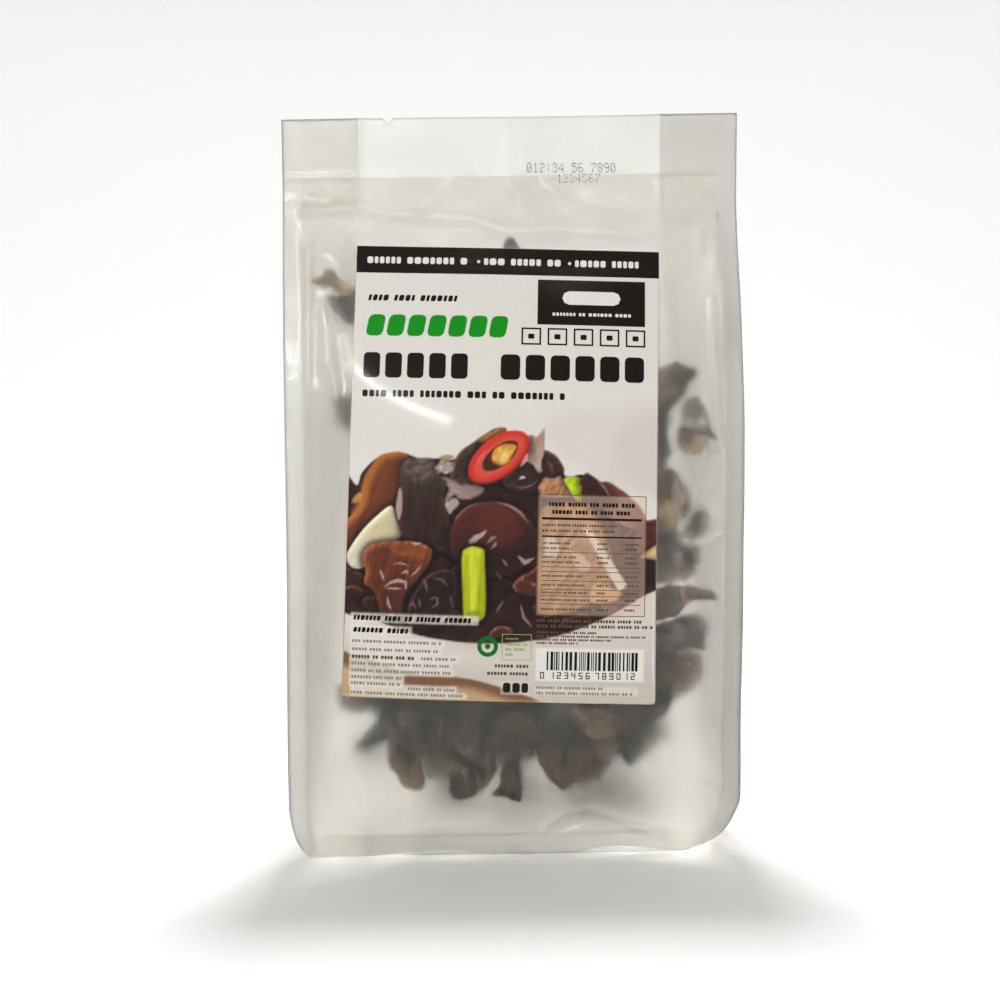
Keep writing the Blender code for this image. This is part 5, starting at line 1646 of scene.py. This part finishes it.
    pic.patch([(24.6, -3), (26.5, -0.5), (28.2, -1), (31, -3), (33.6, -5.8), (36, -10), (30, -12), (25.4, -9.4), (25, -5)],
              rgb(54, 29, 27), edge=rgb(70, 40, 36), depth=1.2, lit=0.3, shadow=0.4, grain=(0.6, 4.0, 1.0, 0.2), seed=88)
    pic.stroke([(30.2, -2.6), (32.6, -5.0), (34.8, -8.4)], 0.45, rgb(172, 146, 140), alpha=0.8)
    # right edge of the mound
    pic.patch([(44, -16.6), (54, -15.6), (54, -25), (44, -27)], rgb(78, 36, 32), edge=rgb(96, 48, 42), depth=1.0, shadow=0.3, grain=(0.2, 3.0, 0.8, 0.25), seed=89)
    pic.patch([(44, -27.6), (50, -22.8), (54, -22), (54, -29), (48, -28)], rgb(220, 186, 138), edge=rgb(180, 130, 80), depth=1.4, shadow=0.3, seed=90)
    pic.patch([(42, -27.4), (54, -29.4), (54, -33), (46, -35.4), (40, -34)], rgb(34, 20, 18), shadow=0.2, seed=91)
    # pale strip of bamboo shoot and tan pieces under the panel
    pic.patch([(13, -12), (24, -10), (30, -14), (36, -30), (32, -40), (18, -46), (12, -44), (12, -24)], rgb(150, 100, 58),
              edge=rgb(120, 74, 44), depth=2.4, soft=0.6, grain=(0.9, 4.0, 1.4, 0.3), seed=93)
    pic.patch([(14, -22), (17, -21.6), (18.4, -25.6), (17, -28.4), (14, -27)], rgb(216, 200, 190), soft=0.4, alpha=0.85, rough=0.4, seed=94)
    pic.patch([(22, -26), (26, -27), (28.6, -31), (25, -31.6)], rgb(216, 190, 172), soft=0.5, alpha=0.7, rough=0.5, seed=95)
    pic.patch([(26, -18.6), (28.8, -18.6), (40.6, -36.6), (37.6, -38.2)], rgb(226, 220, 198), edge=rgb(206, 198, 170), depth=0.8, soft=0.2, smooth_curve=False)
    pic.patch([(30, -36), (38, -38.4), (36, -41.4), (29, -41.6)], rgb(204, 152, 84), soft=0.5, alpha=0.9)
    # chilli ring and what it holds
    ca, cb, turn = -1.4, 4.0, math.radians(40)

    def ring(ra, rb, oa=0.0, ob=0.0, n=16):
        out = []
        for t in np.linspace(0, 2 * math.pi, n, endpoint=False):
            u, v = ra * math.cos(t), rb * math.sin(t)
            out.append((ca + oa + u * math.cos(turn) - v * math.sin(turn), cb + ob + u * math.sin(turn) + v * math.cos(turn)))
        return out

    pic.patch(ring(11.6, 6.4), rgb(206, 54, 42), edge=rgb(176, 34, 30), depth=1.3, lit=0.35, shadow=0.45, seed=101)
    pic.patch(ring(9.6, 4.5, 0.1, 0.2), rgb(218, 80, 62), soft=0.9, alpha=0.8)
    pic.patch(ring(7.2, 3.5, 0.4, 0.5), rgb(72, 30, 22), edge=rgb(206, 120, 96), depth=0.45, soft=0.2, seed=102)
    pic.patch([(-3.4, 2.6), (-3.6, 5.2), (-1.6, 7.6), (1.8, 8.4), (4.2, 7.6), (3.2, 5.0), (1.6, 2.0), (-0.8, 1.2)],
              rgb(222, 164, 72), edge=rgb(190, 118, 46), depth=1.0, lit=0.25, soft=0.25, grain=(0.7, 1.6, 0.9, 0.14), seed=103)
    pic.patch([(-1.4, 2.8), (-0.6, 5.6), (1.2, 6.2), (1.6, 4.0), (0.4, 2.4)], rgb(240, 204, 122), soft=0.6, alpha=0.8)
    pic.stroke([(5.6, 1.2), (7.2, 3.6), (7.8, 5.6)], 1.4, rgb(236, 160, 150), alpha=0.85)
    pic.stroke([(-8.6, 0.6), (-7.6, 3.4), (-5.4, 6.2)], 0.8, rgb(232, 120, 104), alpha=0.6)
    # the tinted panel laid over the picture
    inside = (np.clip((AA - 11.4) / 0.25, 0, 1) * np.clip((46.3 - AA) / 0.25, 0, 1)
              * np.clip((BB + 46.2) / 0.25, 0, 1) * np.clip((-7.6 - BB) / 0.25, 0, 1))[..., None]
    veil = rgb(222, 196, 176)
    pic.c = pic.c * (1 - 0.52 * inside) + veil * 0.52 * inside
    # pale plates under the small print
    rng = np.random.RandomState(77)
    row, b0 = 0, -48.2
    plates = [(-48.0, -6.4, -48.4, 3.0), (-48.0, -27.5, -52.4, 3.0), (-48.0, -16.6, -56.0, 2.4), (-48.0, -17.6, -58.6, 2.4),
              (-48.0, -11.8, -61.0, 2.4), (-48.0, -14.4, -63.2, 2.4), (-48.0, -13.6, -65.4, 2.4), (-48.0, -29.6, -67.5, 2.4),
              (-48.0, -29.8, -69.5, 2.2), (-47.6, -12.8, -70.6, 2.2), (-47.6, -9.6, -72.6, 2.0)]
    for a0, a1, bm, h in plates:
        m = (np.clip((AA - a0) / 0.5, 0, 1) * np.clip((a1 - AA) / 0.5, 0, 1)
             * np.clip((BB - bm + h / 2 + 0.2) / 0.4, 0, 1) * np.clip((bm + h / 2 + 0.2 - BB) / 0.4, 0, 1))
        m = (m * 0.82 * (0.92 + 0.12 * lattice(AA, BB, 0.7, int(rng.randint(900)), 1)))[..., None]
        pic.c = pic.c * (1 - m) + rgb(226, 221, 212) * m
    for a0, a1, b1, b2, col, k in ((11.6, 46.4, -67.2, -56.4, rgb(232, 230, 224), 0.96), (11.4, 44.6, -71.6, -68.4, rgb(226, 220, 210), 0.7),
                                   (0.6, 10.2, -71.8, -67.2, rgb(226, 220, 210), 0.5)):
        m = (np.clip((AA - a0) / 0.3, 0, 1) * np.clip((a1 - AA) / 0.3, 0, 1) * np.clip((BB - b1) / 0.3, 0, 1)
             * np.clip((b2 - BB) / 0.3, 0, 1) * k)[..., None]
        pic.c = pic.c * (1 - m) + col * m
    return np.clip(pic.c, 0, 1)


def linear(c):
    return np.where(c <= 0.04045, c / 12.92, ((c + 0.055) / 1.055) ** 2.4)


picture = linear(paint_label())


def sample_picture(a, b):
    u = np.clip((a + 50.0) / PX, 0, NA - 1.001)
    v = np.clip((b + 74.0) / PX, 0, NB - 1.001)
    i, j = np.floor(u).astype(int), np.floor(v).astype(int)
    f, g = (u - i)[..., None], (v - j)[..., None]
    return ((picture[j, i] * (1 - f) + picture[j, i + 1] * f) * (1 - g)
            + (picture[j + 1, i] * (1 - f) + picture[j + 1, i + 1] * f) * g)


# The paper: a fine front sheet that carries the colours, a coarser back sheet, and a stitched rim.
FINE_A = 240
rows_b = np.concatenate([np.linspace(-74.0, 18.0, (FINE_A * 92 // 100) // 4 * 4 + 1),
                         np.linspace(18.0, 74.0, 29)[1:]])
cols_a = np.linspace(-50.0, 50.0, FINE_A + 1)
nrow, ncol = len(rows_b), len(cols_a)
ga, gb = np.meshgrid(cols_a, rows_b)
# corners of the cut sheet are slightly rounded
corner = 1.1
ca = np.clip(np.abs(ga) - (50.0 - corner), 0, None)
cb = np.clip(np.abs(gb) - (74.0 - corner), 0, None)
far = np.hypot(ca, cb)
k = np.where(far > corner, corner / np.maximum(far, 1e-9), 1.0)
sa = np.sign(ga) * np.where(far > corner, (50.0 - corner) + ca * k, np.abs(ga))
sb = np.sign(gb) * np.where(far > corner, (74.0 - corner) + cb * k, np.abs(gb))
top = label_surface(sa, sb, PAPER_LIFT + PAPER_T / 2)
ri = np.arange(0, nrow, 4)
ci = np.arange(0, ncol, 4)
low_a, low_b = sa[np.ix_(ri, ci)], sb[np.ix_(ri, ci)]
bottom = label_surface(low_a, low_b, PAPER_LIFT - PAPER_T / 2)
verts = np.concatenate([top.reshape(-1, 3), bottom.reshape(-1, 3)])
idx = np.arange(nrow * ncol).reshape(nrow, ncol)
bdx = np.arange(len(ri) * len(ci)).reshape(len(ri), len(ci)) + nrow * ncol
quad = np.stack([idx[:-1, :-1], idx[:-1, 1:], idx[1:, 1:], idx[1:, :-1]], axis=-1).reshape(-1, 4)
back_quad = np.stack([bdx[:-1, :-1], bdx[1:, :-1], bdx[1:, 1:], bdx[:-1, 1:]], axis=-1).reshape(-1, 4)
rim = []


def stitch(fine, coarse):
    """Fans between a fine edge and the coarse edge under it, four fine steps to a coarse one."""
    for q in range(len(coarse) - 1):
        f, c0, c1 = fine[4 * q: 4 * q + 5], coarse[q], coarse[q + 1]
        rim.extend([(f[1], f[0], c0), (f[2], f[1], c0), (f[2], c0, c1), (f[3], f[2], c1), (f[4], f[3], c1)])


stitch(idx[0, :].tolist(), bdx[0, :].tolist())
stitch(idx[:, -1].tolist(), bdx[:, -1].tolist())
stitch(idx[-1, ::-1].tolist(), bdx[-1, ::-1].tolist())
stitch(idx[::-1, 0].tolist(), bdx[::-1, 0].tolist())
faces = quad.tolist() + back_quad.tolist() + [tuple(int(v) for v in t) for t in rim]


def paper_material():
    mat, nt, out = node_material("label_print")
    sh = nt.nodes.new("ShaderNodeBsdfPrincipled")
    att = nt.nodes.new("ShaderNodeAttribute")
    att.attribute_name = "print"
    tc = nt.nodes.new("ShaderNodeTexCoord")
    tone = noise_node(nt, tc.outputs["Object"], 1400.0, 2.0)
    mix = nt.nodes.new("ShaderNodeMix")
    mix.data_type = "RGBA"
    mix.blend_type = "MULTIPLY"
    mix.inputs[0].default_value = 1.0
    r = ramp_node(nt, tone.outputs["Fac"], [(0.3, (0.955, 0.955, 0.955)), (0.7, (1.0, 1.0, 1.0))])
    link(nt, att.outputs["Color"], mix.inputs[6])
    link(nt, r.outputs["Color"], mix.inputs[7])
    link(nt, mix.outputs[2], sh.inputs["Base Color"])
    sh.inputs["Roughness"].default_value = 0.45
    sh.inputs["Specular IOR Level"].default_value = 0.15
    sh.inputs["Coat Weight"].default_value = 0.26
    sh.inputs["Coat Roughness"].default_value = 0.085
    fine = noise_node(nt, tc.outputs["Object"], 260.0, 3.0)
    bump = nt.nodes.new("ShaderNodeBump")
    bump.inputs["Strength"].default_value = 0.10
    bump.inputs["Distance"].default_value = 0.0002
    link(nt, fine.outputs["Fac"], bump.inputs["Height"])
    link(nt, bump.outputs["Normal"], sh.inputs["Normal"])
    link(nt, sh.outputs[0], out.inputs["Surface"])
    return mat


PAPER = paper_material()
label = new_object("label_sheet", verts, faces, [PAPER])
attr = label.data.color_attributes.new(name="print", type="FLOAT_COLOR", domain="POINT")
col = np.ones((len(verts), 4))
col[: nrow * ncol, :3] = sample_picture(sa, sb).reshape(-1, 3)
col[nrow * ncol:, :3] = 0.72
attr.data.foreach_set("color", col.reshape(-1))
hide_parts("label")
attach(label, "root")


# ---------------------------------------------------------------- printed blocks on the label
class Ink:
    """Printed shapes of one colour: flat little prisms laid on the paper."""

    def __init__(self, name, colour, rough=0.4, lift=0.0):
        self.name, self.colour, self.rough = name, colour, rough
        self.low = PAPER_LIFT + PAPER_T / 2 + 0.004 + lift
        self.v, self.f = [], []

    def shape(self, pts):
        """Convex outline, anticlockwise in (a, b)."""
        span = max(max(q[0] for q in pts) - min(q[0] for q in pts), max(q[1] for q in pts) - min(q[1] for q in pts))
        if span > 2.2:
            return self.broad_shape(pts, int(math.ceil(span / 2.4)))
        a = np.array([q[0] for q in pts])
        b = np.array([q[1] for q in pts])
        n0, m = sum(len(q) for q in self.v), len(pts)
        self.v.append(label_surface(a, b, self.low + 0.035))
        self.v.append(label_surface(a, b, self.low - 0.02))
        self.f.append(tuple(range(n0, n0 + m)))
        self.f.append(tuple(range(n0 + 2 * m - 1, n0 + m - 1, -1)))
        for q in range(m):
            r = (q + 1) % m
            self.f.append((n0 + q, n0 + m + q, n0 + m + r, n0 + r))

    def broad_shape(self, pts, rings):
        """The same, with rings of points inside it, so that it bends with the paper."""
        p = []
        for k in range(len(pts)):
            u, v = np.array(pts[k], dtype=float), np.array(pts[(k + 1) % len(pts)], dtype=float)
            cuts = max(1, int(np.hypot(*(v - u)) / 1.4))
            p.extend(u + (v - u) * t for t in np.linspace(0, 1, cuts, endpoint=False))
        p = np.array(p)
        c = p.mean(axis=0)
        m = len(p)
        grid = np.concatenate([[c]] + [c + (p - c) * (k / float(rings)) for k in range(1, rings + 1)])
        n0 = sum(len(q) for q in self.v)
        self.v.append(label_surface(grid[:, 0], grid[:, 1], self.low + 0.035))
        self.v.append(label_surface(p[:, 0], p[:, 1], self.low - 0.02))
        low = n0 + len(grid)
        for j in range(m):
            k = (j + 1) % m
            self.f.append((n0, n0 + 1 + j, n0 + 1 + k))
            for i in range(rings - 1):
                a, b = n0 + 1 + i * m, n0 + 1 + (i + 1) * m
                self.f.append((a + j, b + j, b + k, a + k))
            a = n0 + 1 + (rings - 1) * m
            self.f.append((a + j, low + j, low + k, a + k))
        self.f.append(tuple(range(low + m - 1, low - 1, -1)))

    def block(self, a0, a1, b0, b1, round_by=0.25, slant=0.0):
        r = min(round_by * min(a1 - a0, b1 - b0), (a1 - a0) / 2.1, (b1 - b0) / 2.1)
        pts = []
        for (ca, cb, t0) in ((a1 - r, b0 + r, -90), (a1 - r, b1 - r, 0), (a0 + r, b1 - r, 90), (a0 + r, b0 + r, 180)):
            for t in (0, 45, 90):
                u = math.radians(t0 + t)
                pts.append((ca + r * math.cos(u), cb + r * math.sin(u)))
        self.shape([(p[0] + slant * (p[1] - b0), p[1]) for p in pts])

    def sheet(self, a0, a1, b0, b1, step=2.5):
        """Large rectangle that follows the curve of the packet."""
        na, nb = max(2, int((a1 - a0) / step) + 1), max(2, int((b1 - b0) / step) + 1)
        g = np.meshgrid(np.linspace(a0, a1, na), np.linspace(b0, b1, nb))
        n0 = sum(len(q) for q in self.v)
        up, dn = label_surface(g[0], g[1], self.low + 0.035), label_surface(g[0], g[1], self.low - 0.02)
        self.v.append(up.reshape(-1, 3))
        self.v.append(dn.reshape(-1, 3))
        i = np.arange(na * nb).reshape(nb, na) + n0
        o = na * nb
        for r in range(nb - 1):
            for c in range(na - 1):
                self.f.append((int(i[r, c]), int(i[r, c + 1]), int(i[r + 1, c + 1]), int(i[r + 1, c])))
                self.f.append((int(i[r, c] + o), int(i[r + 1, c] + o), int(i[r + 1, c + 1] + o), int(i[r, c + 1] + o)))
        ringed = np.concatenate([i[0, :], i[1:, -1], i[-1, -2::-1], i[-2:0:-1, 0]])
        for q in range(len(ringed)):
            p, s = int(ringed[q]), int(ringed[(q + 1) % len(ringed)])
            self.f.append((p, p + o, s + o, s))

    def line(self, a0, a1, b, w):
        self.sheet(a0, a1, b - w / 2, b + w / 2, step=3.0)

    def words(self, a0, a1, b, h, seed, slant=0.0, wide=0.6, gap=0.2, long_words=8):
        """A row of plain blocks that stands in for a line of small print."""
        rng = np.random.RandomState(seed)
        a = a0
        left = int(rng.randint(3, long_words))
        while a < a1 - 0.4 * h:
            w = h * wide * rng.uniform(0.65, 1.25)
            if a + w > a1:
                break
            self.block(a, a + w, b - 0.32 * h, b + 0.32 * h, 0.3, slant)
            a += w + h * gap
            left -= 1
            if left <= 0:
                a += h * 0.45
                left = int(rng.randint(2, long_words))

    def finish(self):
        mat, nt, out = node_material("print_" + self.name)
        tc = nt.nodes.new("ShaderNodeTexCoord")
        sh = nt.nodes.new("ShaderNodeBsdfPrincipled")
        n = noise_node(nt, tc.outputs["Object"], 800.0, 3.0)
        c = linear(self.colour)
        r = ramp_node(nt, n.outputs["Fac"], [(0.3, tuple(np.clip(c * 0.96, 0, 1))), (0.7, tuple(np.clip(c * 1.03, 0, 1)))])
        link(nt, r.outputs["Color"], sh.inputs["Base Color"])
        sh.inputs["Roughness"].default_value = self.rough
        sh.inputs["Specular IOR Level"].default_value = 0.05
        sh.inputs["Coat Weight"].default_value = 0.22
        sh.inputs["Coat Roughness"].default_value = 0.085
        link(nt, sh.outputs[0], out.inputs["Surface"])
        obj = new_object("print_" + self.name, np.concatenate(self.v), self.f, [mat], smooth_faces=False)
        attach(obj, "root")
        return obj


dark = Ink("dark", rgb(26, 19, 15))
white = Ink("white", rgb(228, 224, 216), lift=0.045)
green = Ink("green", rgb(18, 142, 24))
soft_grey = Ink("small_grey", rgb(140, 130, 118))
brown = Ink("small_brown", rgb(92, 72, 60))
leaf = Ink("leaf_green", rgb(16, 108, 34))
lime = Ink("pale_green", rgb(150, 176, 96))

# band along the top, with three plain phrases of blocks
dark.sheet(-50.0 + 0.05, 50.0 - 0.05, 64.8, 73.9)
for a0, a1, seed in ((-46.4, -11.8, 1), (-7.8, 18.4, 2), (22.2, 46.4, 3)):
    white.words(a0, a1, 69.2, 3.6, seed, wide=0.5, gap=0.14)
for a in (-9.6, 20.4):
    white.block(a - 0.55, a + 0.55, 68.6, 69.7, 0.5)
# dark tablet at the upper right, plain but for a bar and a row of ticks
dark.sheet(10.1, 45.3, 48.1, 63.4)
white.block(18.2, 37.2, 55.0, 59.6, 0.5)
white.words(15.0, 41.0, 51.7, 1.7, 9, wide=0.55, gap=0.2)
# italic line
dark.words(-45.6, -16.0, 56.3, 3.2, 11, slant=0.2, wide=0.42, gap=0.16)
# seven equal green blocks
for q in range(7):
    green.block(-46.0 + 6.7 * q, -40.5 + 6.7 * q, 43.4, 50.6, 0.28, slant=0.16)
# five small open squares
for q in range(5):
    a0 = 5.0 + q * 8.5
    for args in ((a0, a0 + 6.4, 46.4, 46.95), (a0, a0 + 6.4, 41.2, 41.75), (a0, a0 + 0.55, 41.2, 46.95), (a0 + 5.85, a0 + 6.4, 41.2, 46.95),
                 (a0 + 2.2, a0 + 4.2, 43.2, 44.9)):
        dark.block(*args, 0.2)
# two rows of equal heavy blocks
for a0, w, count in ((-46.2, 5.4, 5), (-1.5, 6.3, 6)):
    for q in range(count):
        dark.block(a0 + q * (w + 1.75), a0 + q * (w + 1.75) + w, 29.4, 37.8, 0.22)
# line under the heading
dark.words(-46.2, 20.6, 24.2, 3.5, 21, wide=0.44, gap=0.15)
# panel of figures
for b, w in ((-7.7, 0.22), (-46.1, 0.22)):
    brown.line(11.5, 46.2, b, w)
for a in (11.6, 46.1):
    brown.sheet(a - 0.11, a + 0.11, -46.1, -7.7, step=3.0)
dark.words(15.0, 43.4, -10.7, 2.1, 31, wide=0.42, gap=0.12)
dark.words(16.0, 41.0, -13.2, 2.0, 32, wide=0.42, gap=0.12)
dark.line(12.8, 44.8, -15.3, 0.75)
dark.line(12.8, 44.8, -21.0, 0.5)
for b in (-26.1, -30.7, -32.2, -35.1, -37.9, -39.9, -42.5):
    brown.line(12.8, 44.8, b, 0.2)
for q, b in enumerate((-17.4, -19.2)):
    brown.words(13.0, 37.0, b, 1.2, 40 + q, wide=0.45, gap=0.2)
for q, b in enumerate((-23.2, -24.8, -27.6, -29.2, -33.6, -36.5, -38.9, -41.2, -44.2)):
    brown.words(13.0, 22.0 + (q * 37 % 9), b, 1.0, 50 + q, wide=0.45, gap=0.2)
    brown.words(30.6, 34.6, b, 1.1, 70 + q, wide=0.5, gap=0.2)
    brown.words(39.6, 44.0, b, 1.1, 90 + q, wide=0.5, gap=0.2)
# small print at the left
dark.words(-46.8, -7.8, -48.5, 2.5, 111, slant=0.18, wide=0.42, gap=0.14)
dark.words(-46.8, -28.6, -52.4, 2.5, 112, slant=0.18, wide=0.42, gap=0.14)
for q, (b, a1) in enumerate(((-56.0, -17.6), (-58.6, -18.6), (-63.2, -15.4), (-65.4, -14.4), (-67.5, -30.4), (-69.5, -30.6), (-70.7, -13.8), (-72.5, -10.6))):
    a0 = -47.0 if q < 6 or q == 7 else -28.6
    soft_grey.words(a0, a1, b, 1.45, 120 + q, wide=0.48, gap=0.2)
brown.words(-47.0, -26.0, -61.0, 1.7, 131, wide=0.5, gap=0.14)
soft_grey.words(-24.6, -12.8, -61.0, 1.5, 132, wide=0.5, gap=0.2)
# small print at the right
for q, (b, a1, h) in enumerate(((-47.9, 46.4, 1.5), (-49.6, 49.0, 1.5), (-51.6, 31.0, 1.1), (-52.8, 46.6, 1.05), (-53.9, 36.0, 1.05), (-55.0, 25.4, 1.05))):
    brown.words(11.8, a1, b, h, 140 + q, wide=0.46, gap=0.18)
for q, (b, a1) in enumerate(((-69.2, 33.6), (-70.9, 43.4))):
    soft_grey.words(12.0, a1, b, 1.3, 150 + q, wide=0.48, gap=0.2)
brown.words(-1.2, 10.0, -62.6, 1.6, 161, wide=0.5, gap=0.18)
brown.words(-3.6, 9.6, -65.0, 1.6, 162, wide=0.5, gap=0.18)
# weight mark as three heavy blocks
for a0, a1 in ((1.5, 3.9), (4.5, 6.9), (7.4, 9.5)):
    dark.block(a0, a1, -71.0, -67.9, 0.3)
# a plain round mark and its box of rows
for q in range(20):
    t0, t1 = 2 * math.pi * q / 20, 2 * math.pi * (q + 1) / 20
    leaf.shape([(-3.6 + r * math.cos(t), -56.5 + r * math.sin(t)) for r, t in ((2.0, t0), (3.3, t0), (3.3, t1), (2.0, t1))])
leaf.block(-4.5, -2.7, -57.4, -55.6, 0.5)
for args in ((0.9, 10.3, -52.6, -52.4), (0.9, 10.3, -60.7, -60.5), (0.9, 1.1, -60.7, -52.4), (10.1, 10.3, -60.7, -52.4)):
    lime.block(*args, 0.1)
for b, a1 in ((-55.7, 9.0), (-57.3, 8.4), (-58.9, 5.2)):
    lime.words(2.0, a1, b, 1.3, int(170 - b), wide=0.55, gap=0.12)
soft_grey.words(2.0, 6.4, -53.9, 1.0, 175, wide=0.5, gap=0.2)
# bars
rng = np.random.RandomState(40)
a = 15.2
while a < 43.6:
    w = float(rng.choice([0.28, 0.28, 0.5, 0.85]))
    dark.block(a, min(a + w, 44.2), -63.6, -57.7, 0.02)
    a += w + float(rng.choice([0.3, 0.3, 0.45, 0.7]))
SEGMENTS = {"0": "abcdef", "1": "bc", "2": "abged", "3": "abgcd", "4": "fgbc", "5": "afgcd", "6": "afgedc",
            "7": "abc", "8": "abcdefg", "9": "abcdfg"}
for q, ch in enumerate("0123456789012"):
    a0, b0, w, h, t = 13.2 + q * 2.28 + (0.8 if q > 0 else 0.0) + (0.7 if q > 6 else 0.0), -66.3, 1.25, 2.1, 0.3
    bars = {"a": (0, w, h - t, h), "d": (0, w, 0, t), "g": (0, w, h / 2 - t / 2, h / 2 + t / 2),
            "f": (0, t, h / 2, h), "b": (w - t, w, h / 2, h), "e": (0, t, 0, h / 2), "c": (w - t, w, 0, h / 2)}
    for s in SEGMENTS[ch]:
        q0, q1, r0, r1 = bars[s]
        dark.block(a0 + q0, a0 + q1, b0 + r0, b0 + r1, 0.3)
for ink in (dark, white, green, soft_grey, brown, leaf, lime):
    ink.finish()

# ---------------------------------------------------------------- camera
cam_data = bpy.data.cameras.new("camera")
cam = bpy.data.objects.new("camera", cam_data)
bpy.context.scene.collection.objects.link(cam)
cam_data.sensor_width = 36.0
cam_data.lens = 52.09
cam.rotation_mode = "QUATERNION"
look = Vector((0, 1, 0)).to_track_quat("-Z", "Y")
from mathutils import Quaternion
cam.rotation_quaternion = look @ Quaternion((0, 0, 1), math.radians(-0.8))
cam.location = (-0.0046, -0.481, 0.1132)
cam_data.clip_start, cam_data.clip_end = 0.01, 20.0
bpy.context.scene.camera = cam

# ---------------------------------------------------------------- stage, light
# a round floor that turns up into a wall on all sides
profile = [(0.0, 0.0), (0.25, 0.0), (0.5, 0.0), (0.75, 0.0)]
profile += [(1.05 + 0.75 * math.sin(t), 0.75 - 0.75 * math.cos(t)) for t in np.linspace(0.0, math.pi / 2, 20)]
profile += [(1.8, 1.1), (1.8, 1.5)]
TURNS = 96
verts = [(r * math.cos(2 * math.pi * k / TURNS), r * math.sin(2 * math.pi * k / TURNS), h)
         for r, h in profile[1:] for k in range(TURNS)] + [(0.0, 0.0, 0.0)]
faces = [(i * TURNS + k, i * TURNS + (k + 1) % TURNS, (i + 1) * TURNS + (k + 1) % TURNS, (i + 1) * TURNS + k)
         for i in range(len(profile) - 2) for k in range(TURNS)]
faces += [(len(verts) - 1, (k + 1) % TURNS, k) for k in range(TURNS)]
mesh = bpy.data.meshes.new("floor_sweep")
mesh.from_pydata(verts, [], faces)
mesh.shade_smooth()
floor = bpy.data.objects.new("floor_sweep", mesh)
bpy.context.scene.collection.objects.link(floor)
mat, nt, out = node_material("pale_floor")
sh = nt.nodes.new("ShaderNodeBsdfPrincipled")
where = nt.nodes.new("ShaderNodeTexCoord")
axes = nt.nodes.new("ShaderNodeSeparateXYZ")
link(nt, where.outputs["Object"], axes.inputs[0])
span = nt.nodes.new("ShaderNodeMapRange")
span.inputs["From Min"].default_value = -1.35
span.inputs["From Max"].default_value = -0.75
link(nt, axes.outputs["Y"], span.inputs["Value"])
paint = ramp_node(nt, span.outputs["Result"], [(0.0, (0.56, 0.56, 0.56)), (1.0, (0.86, 0.86, 0.855))])
link(nt, paint.outputs["Color"], sh.inputs["Base Color"])
sh.inputs["Roughness"].default_value = 0.7
sh.inputs["Specular IOR Level"].default_value = 0.2
link(nt, sh.outputs[0], out.inputs["Surface"])
mesh.materials.append(mat)

world = bpy.data.worlds.new("soft_room")
world.use_nodes = True
bg_node = world.node_tree.nodes["Background"]
bg_node.inputs["Color"].default_value = (1.0, 0.995, 0.985, 1)
bg_node.inputs["Strength"].default_value = 0.22
bpy.context.scene.world = world


def area(name, loc, target, size, energy, size_y=None, color=(1, 1, 1), roll=0.0):
    data = bpy.data.lights.new(name, "AREA")
    data.energy = energy
    data.color = color
    data.size = size
    if size_y:
        data.shape = "RECTANGLE"
        data.size_y = size_y
    obj = bpy.data.objects.new(name, data)
    obj.location = loc
    obj.rotation_mode = "QUATERNION"
    obj.rotation_quaternion = (Vector(target) - Vector(loc)).to_track_quat("-Z", "Y") @ Quaternion((0, 0, 1), math.radians(roll))
    bpy.context.scene.collection.objects.link(obj)
    return obj


area("key_softbox", (-0.75, -0.85, 1.05), (0, 0, 0.12), 0.6, 1.7)
area("top_light", (0.02, 0.56, 1.42), (0.0, -0.05, 0.0), 0.24, 18.0)
area("backdrop_light", (0.0, 0.75, 1.3), (0.0, 1.8, 0.5), 1.2, 7.2)
area("left_strip", (-1.05, -0.45, 0.55), (-0.03, 0, 0.14), 0.008, 1.0, size_y=0.9)
area("right_strip", (0.62, -0.88, 0.46), (0.05, 0, 0.12), 0.008, 1.3, size_y=0.8)
area("upper_strip", (0.0, -0.90, 0.95), (0.0, 0, 0.18), 0.8, 1.1, size_y=0.008)
area("streak_strip", (-0.45, -1.05, 0.715), (-0.035, 0, 0.15), 0.70, 3.0, size_y=0.012, roll=-22.0)

bpy.context.scene.view_settings.view_transform = "Standard"

# ---------------------------------------------------------------- the film pieces ride on the root body
for obj in list(bpy.data.objects):
    if obj.name.startswith("film_"):
        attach(obj, "root")
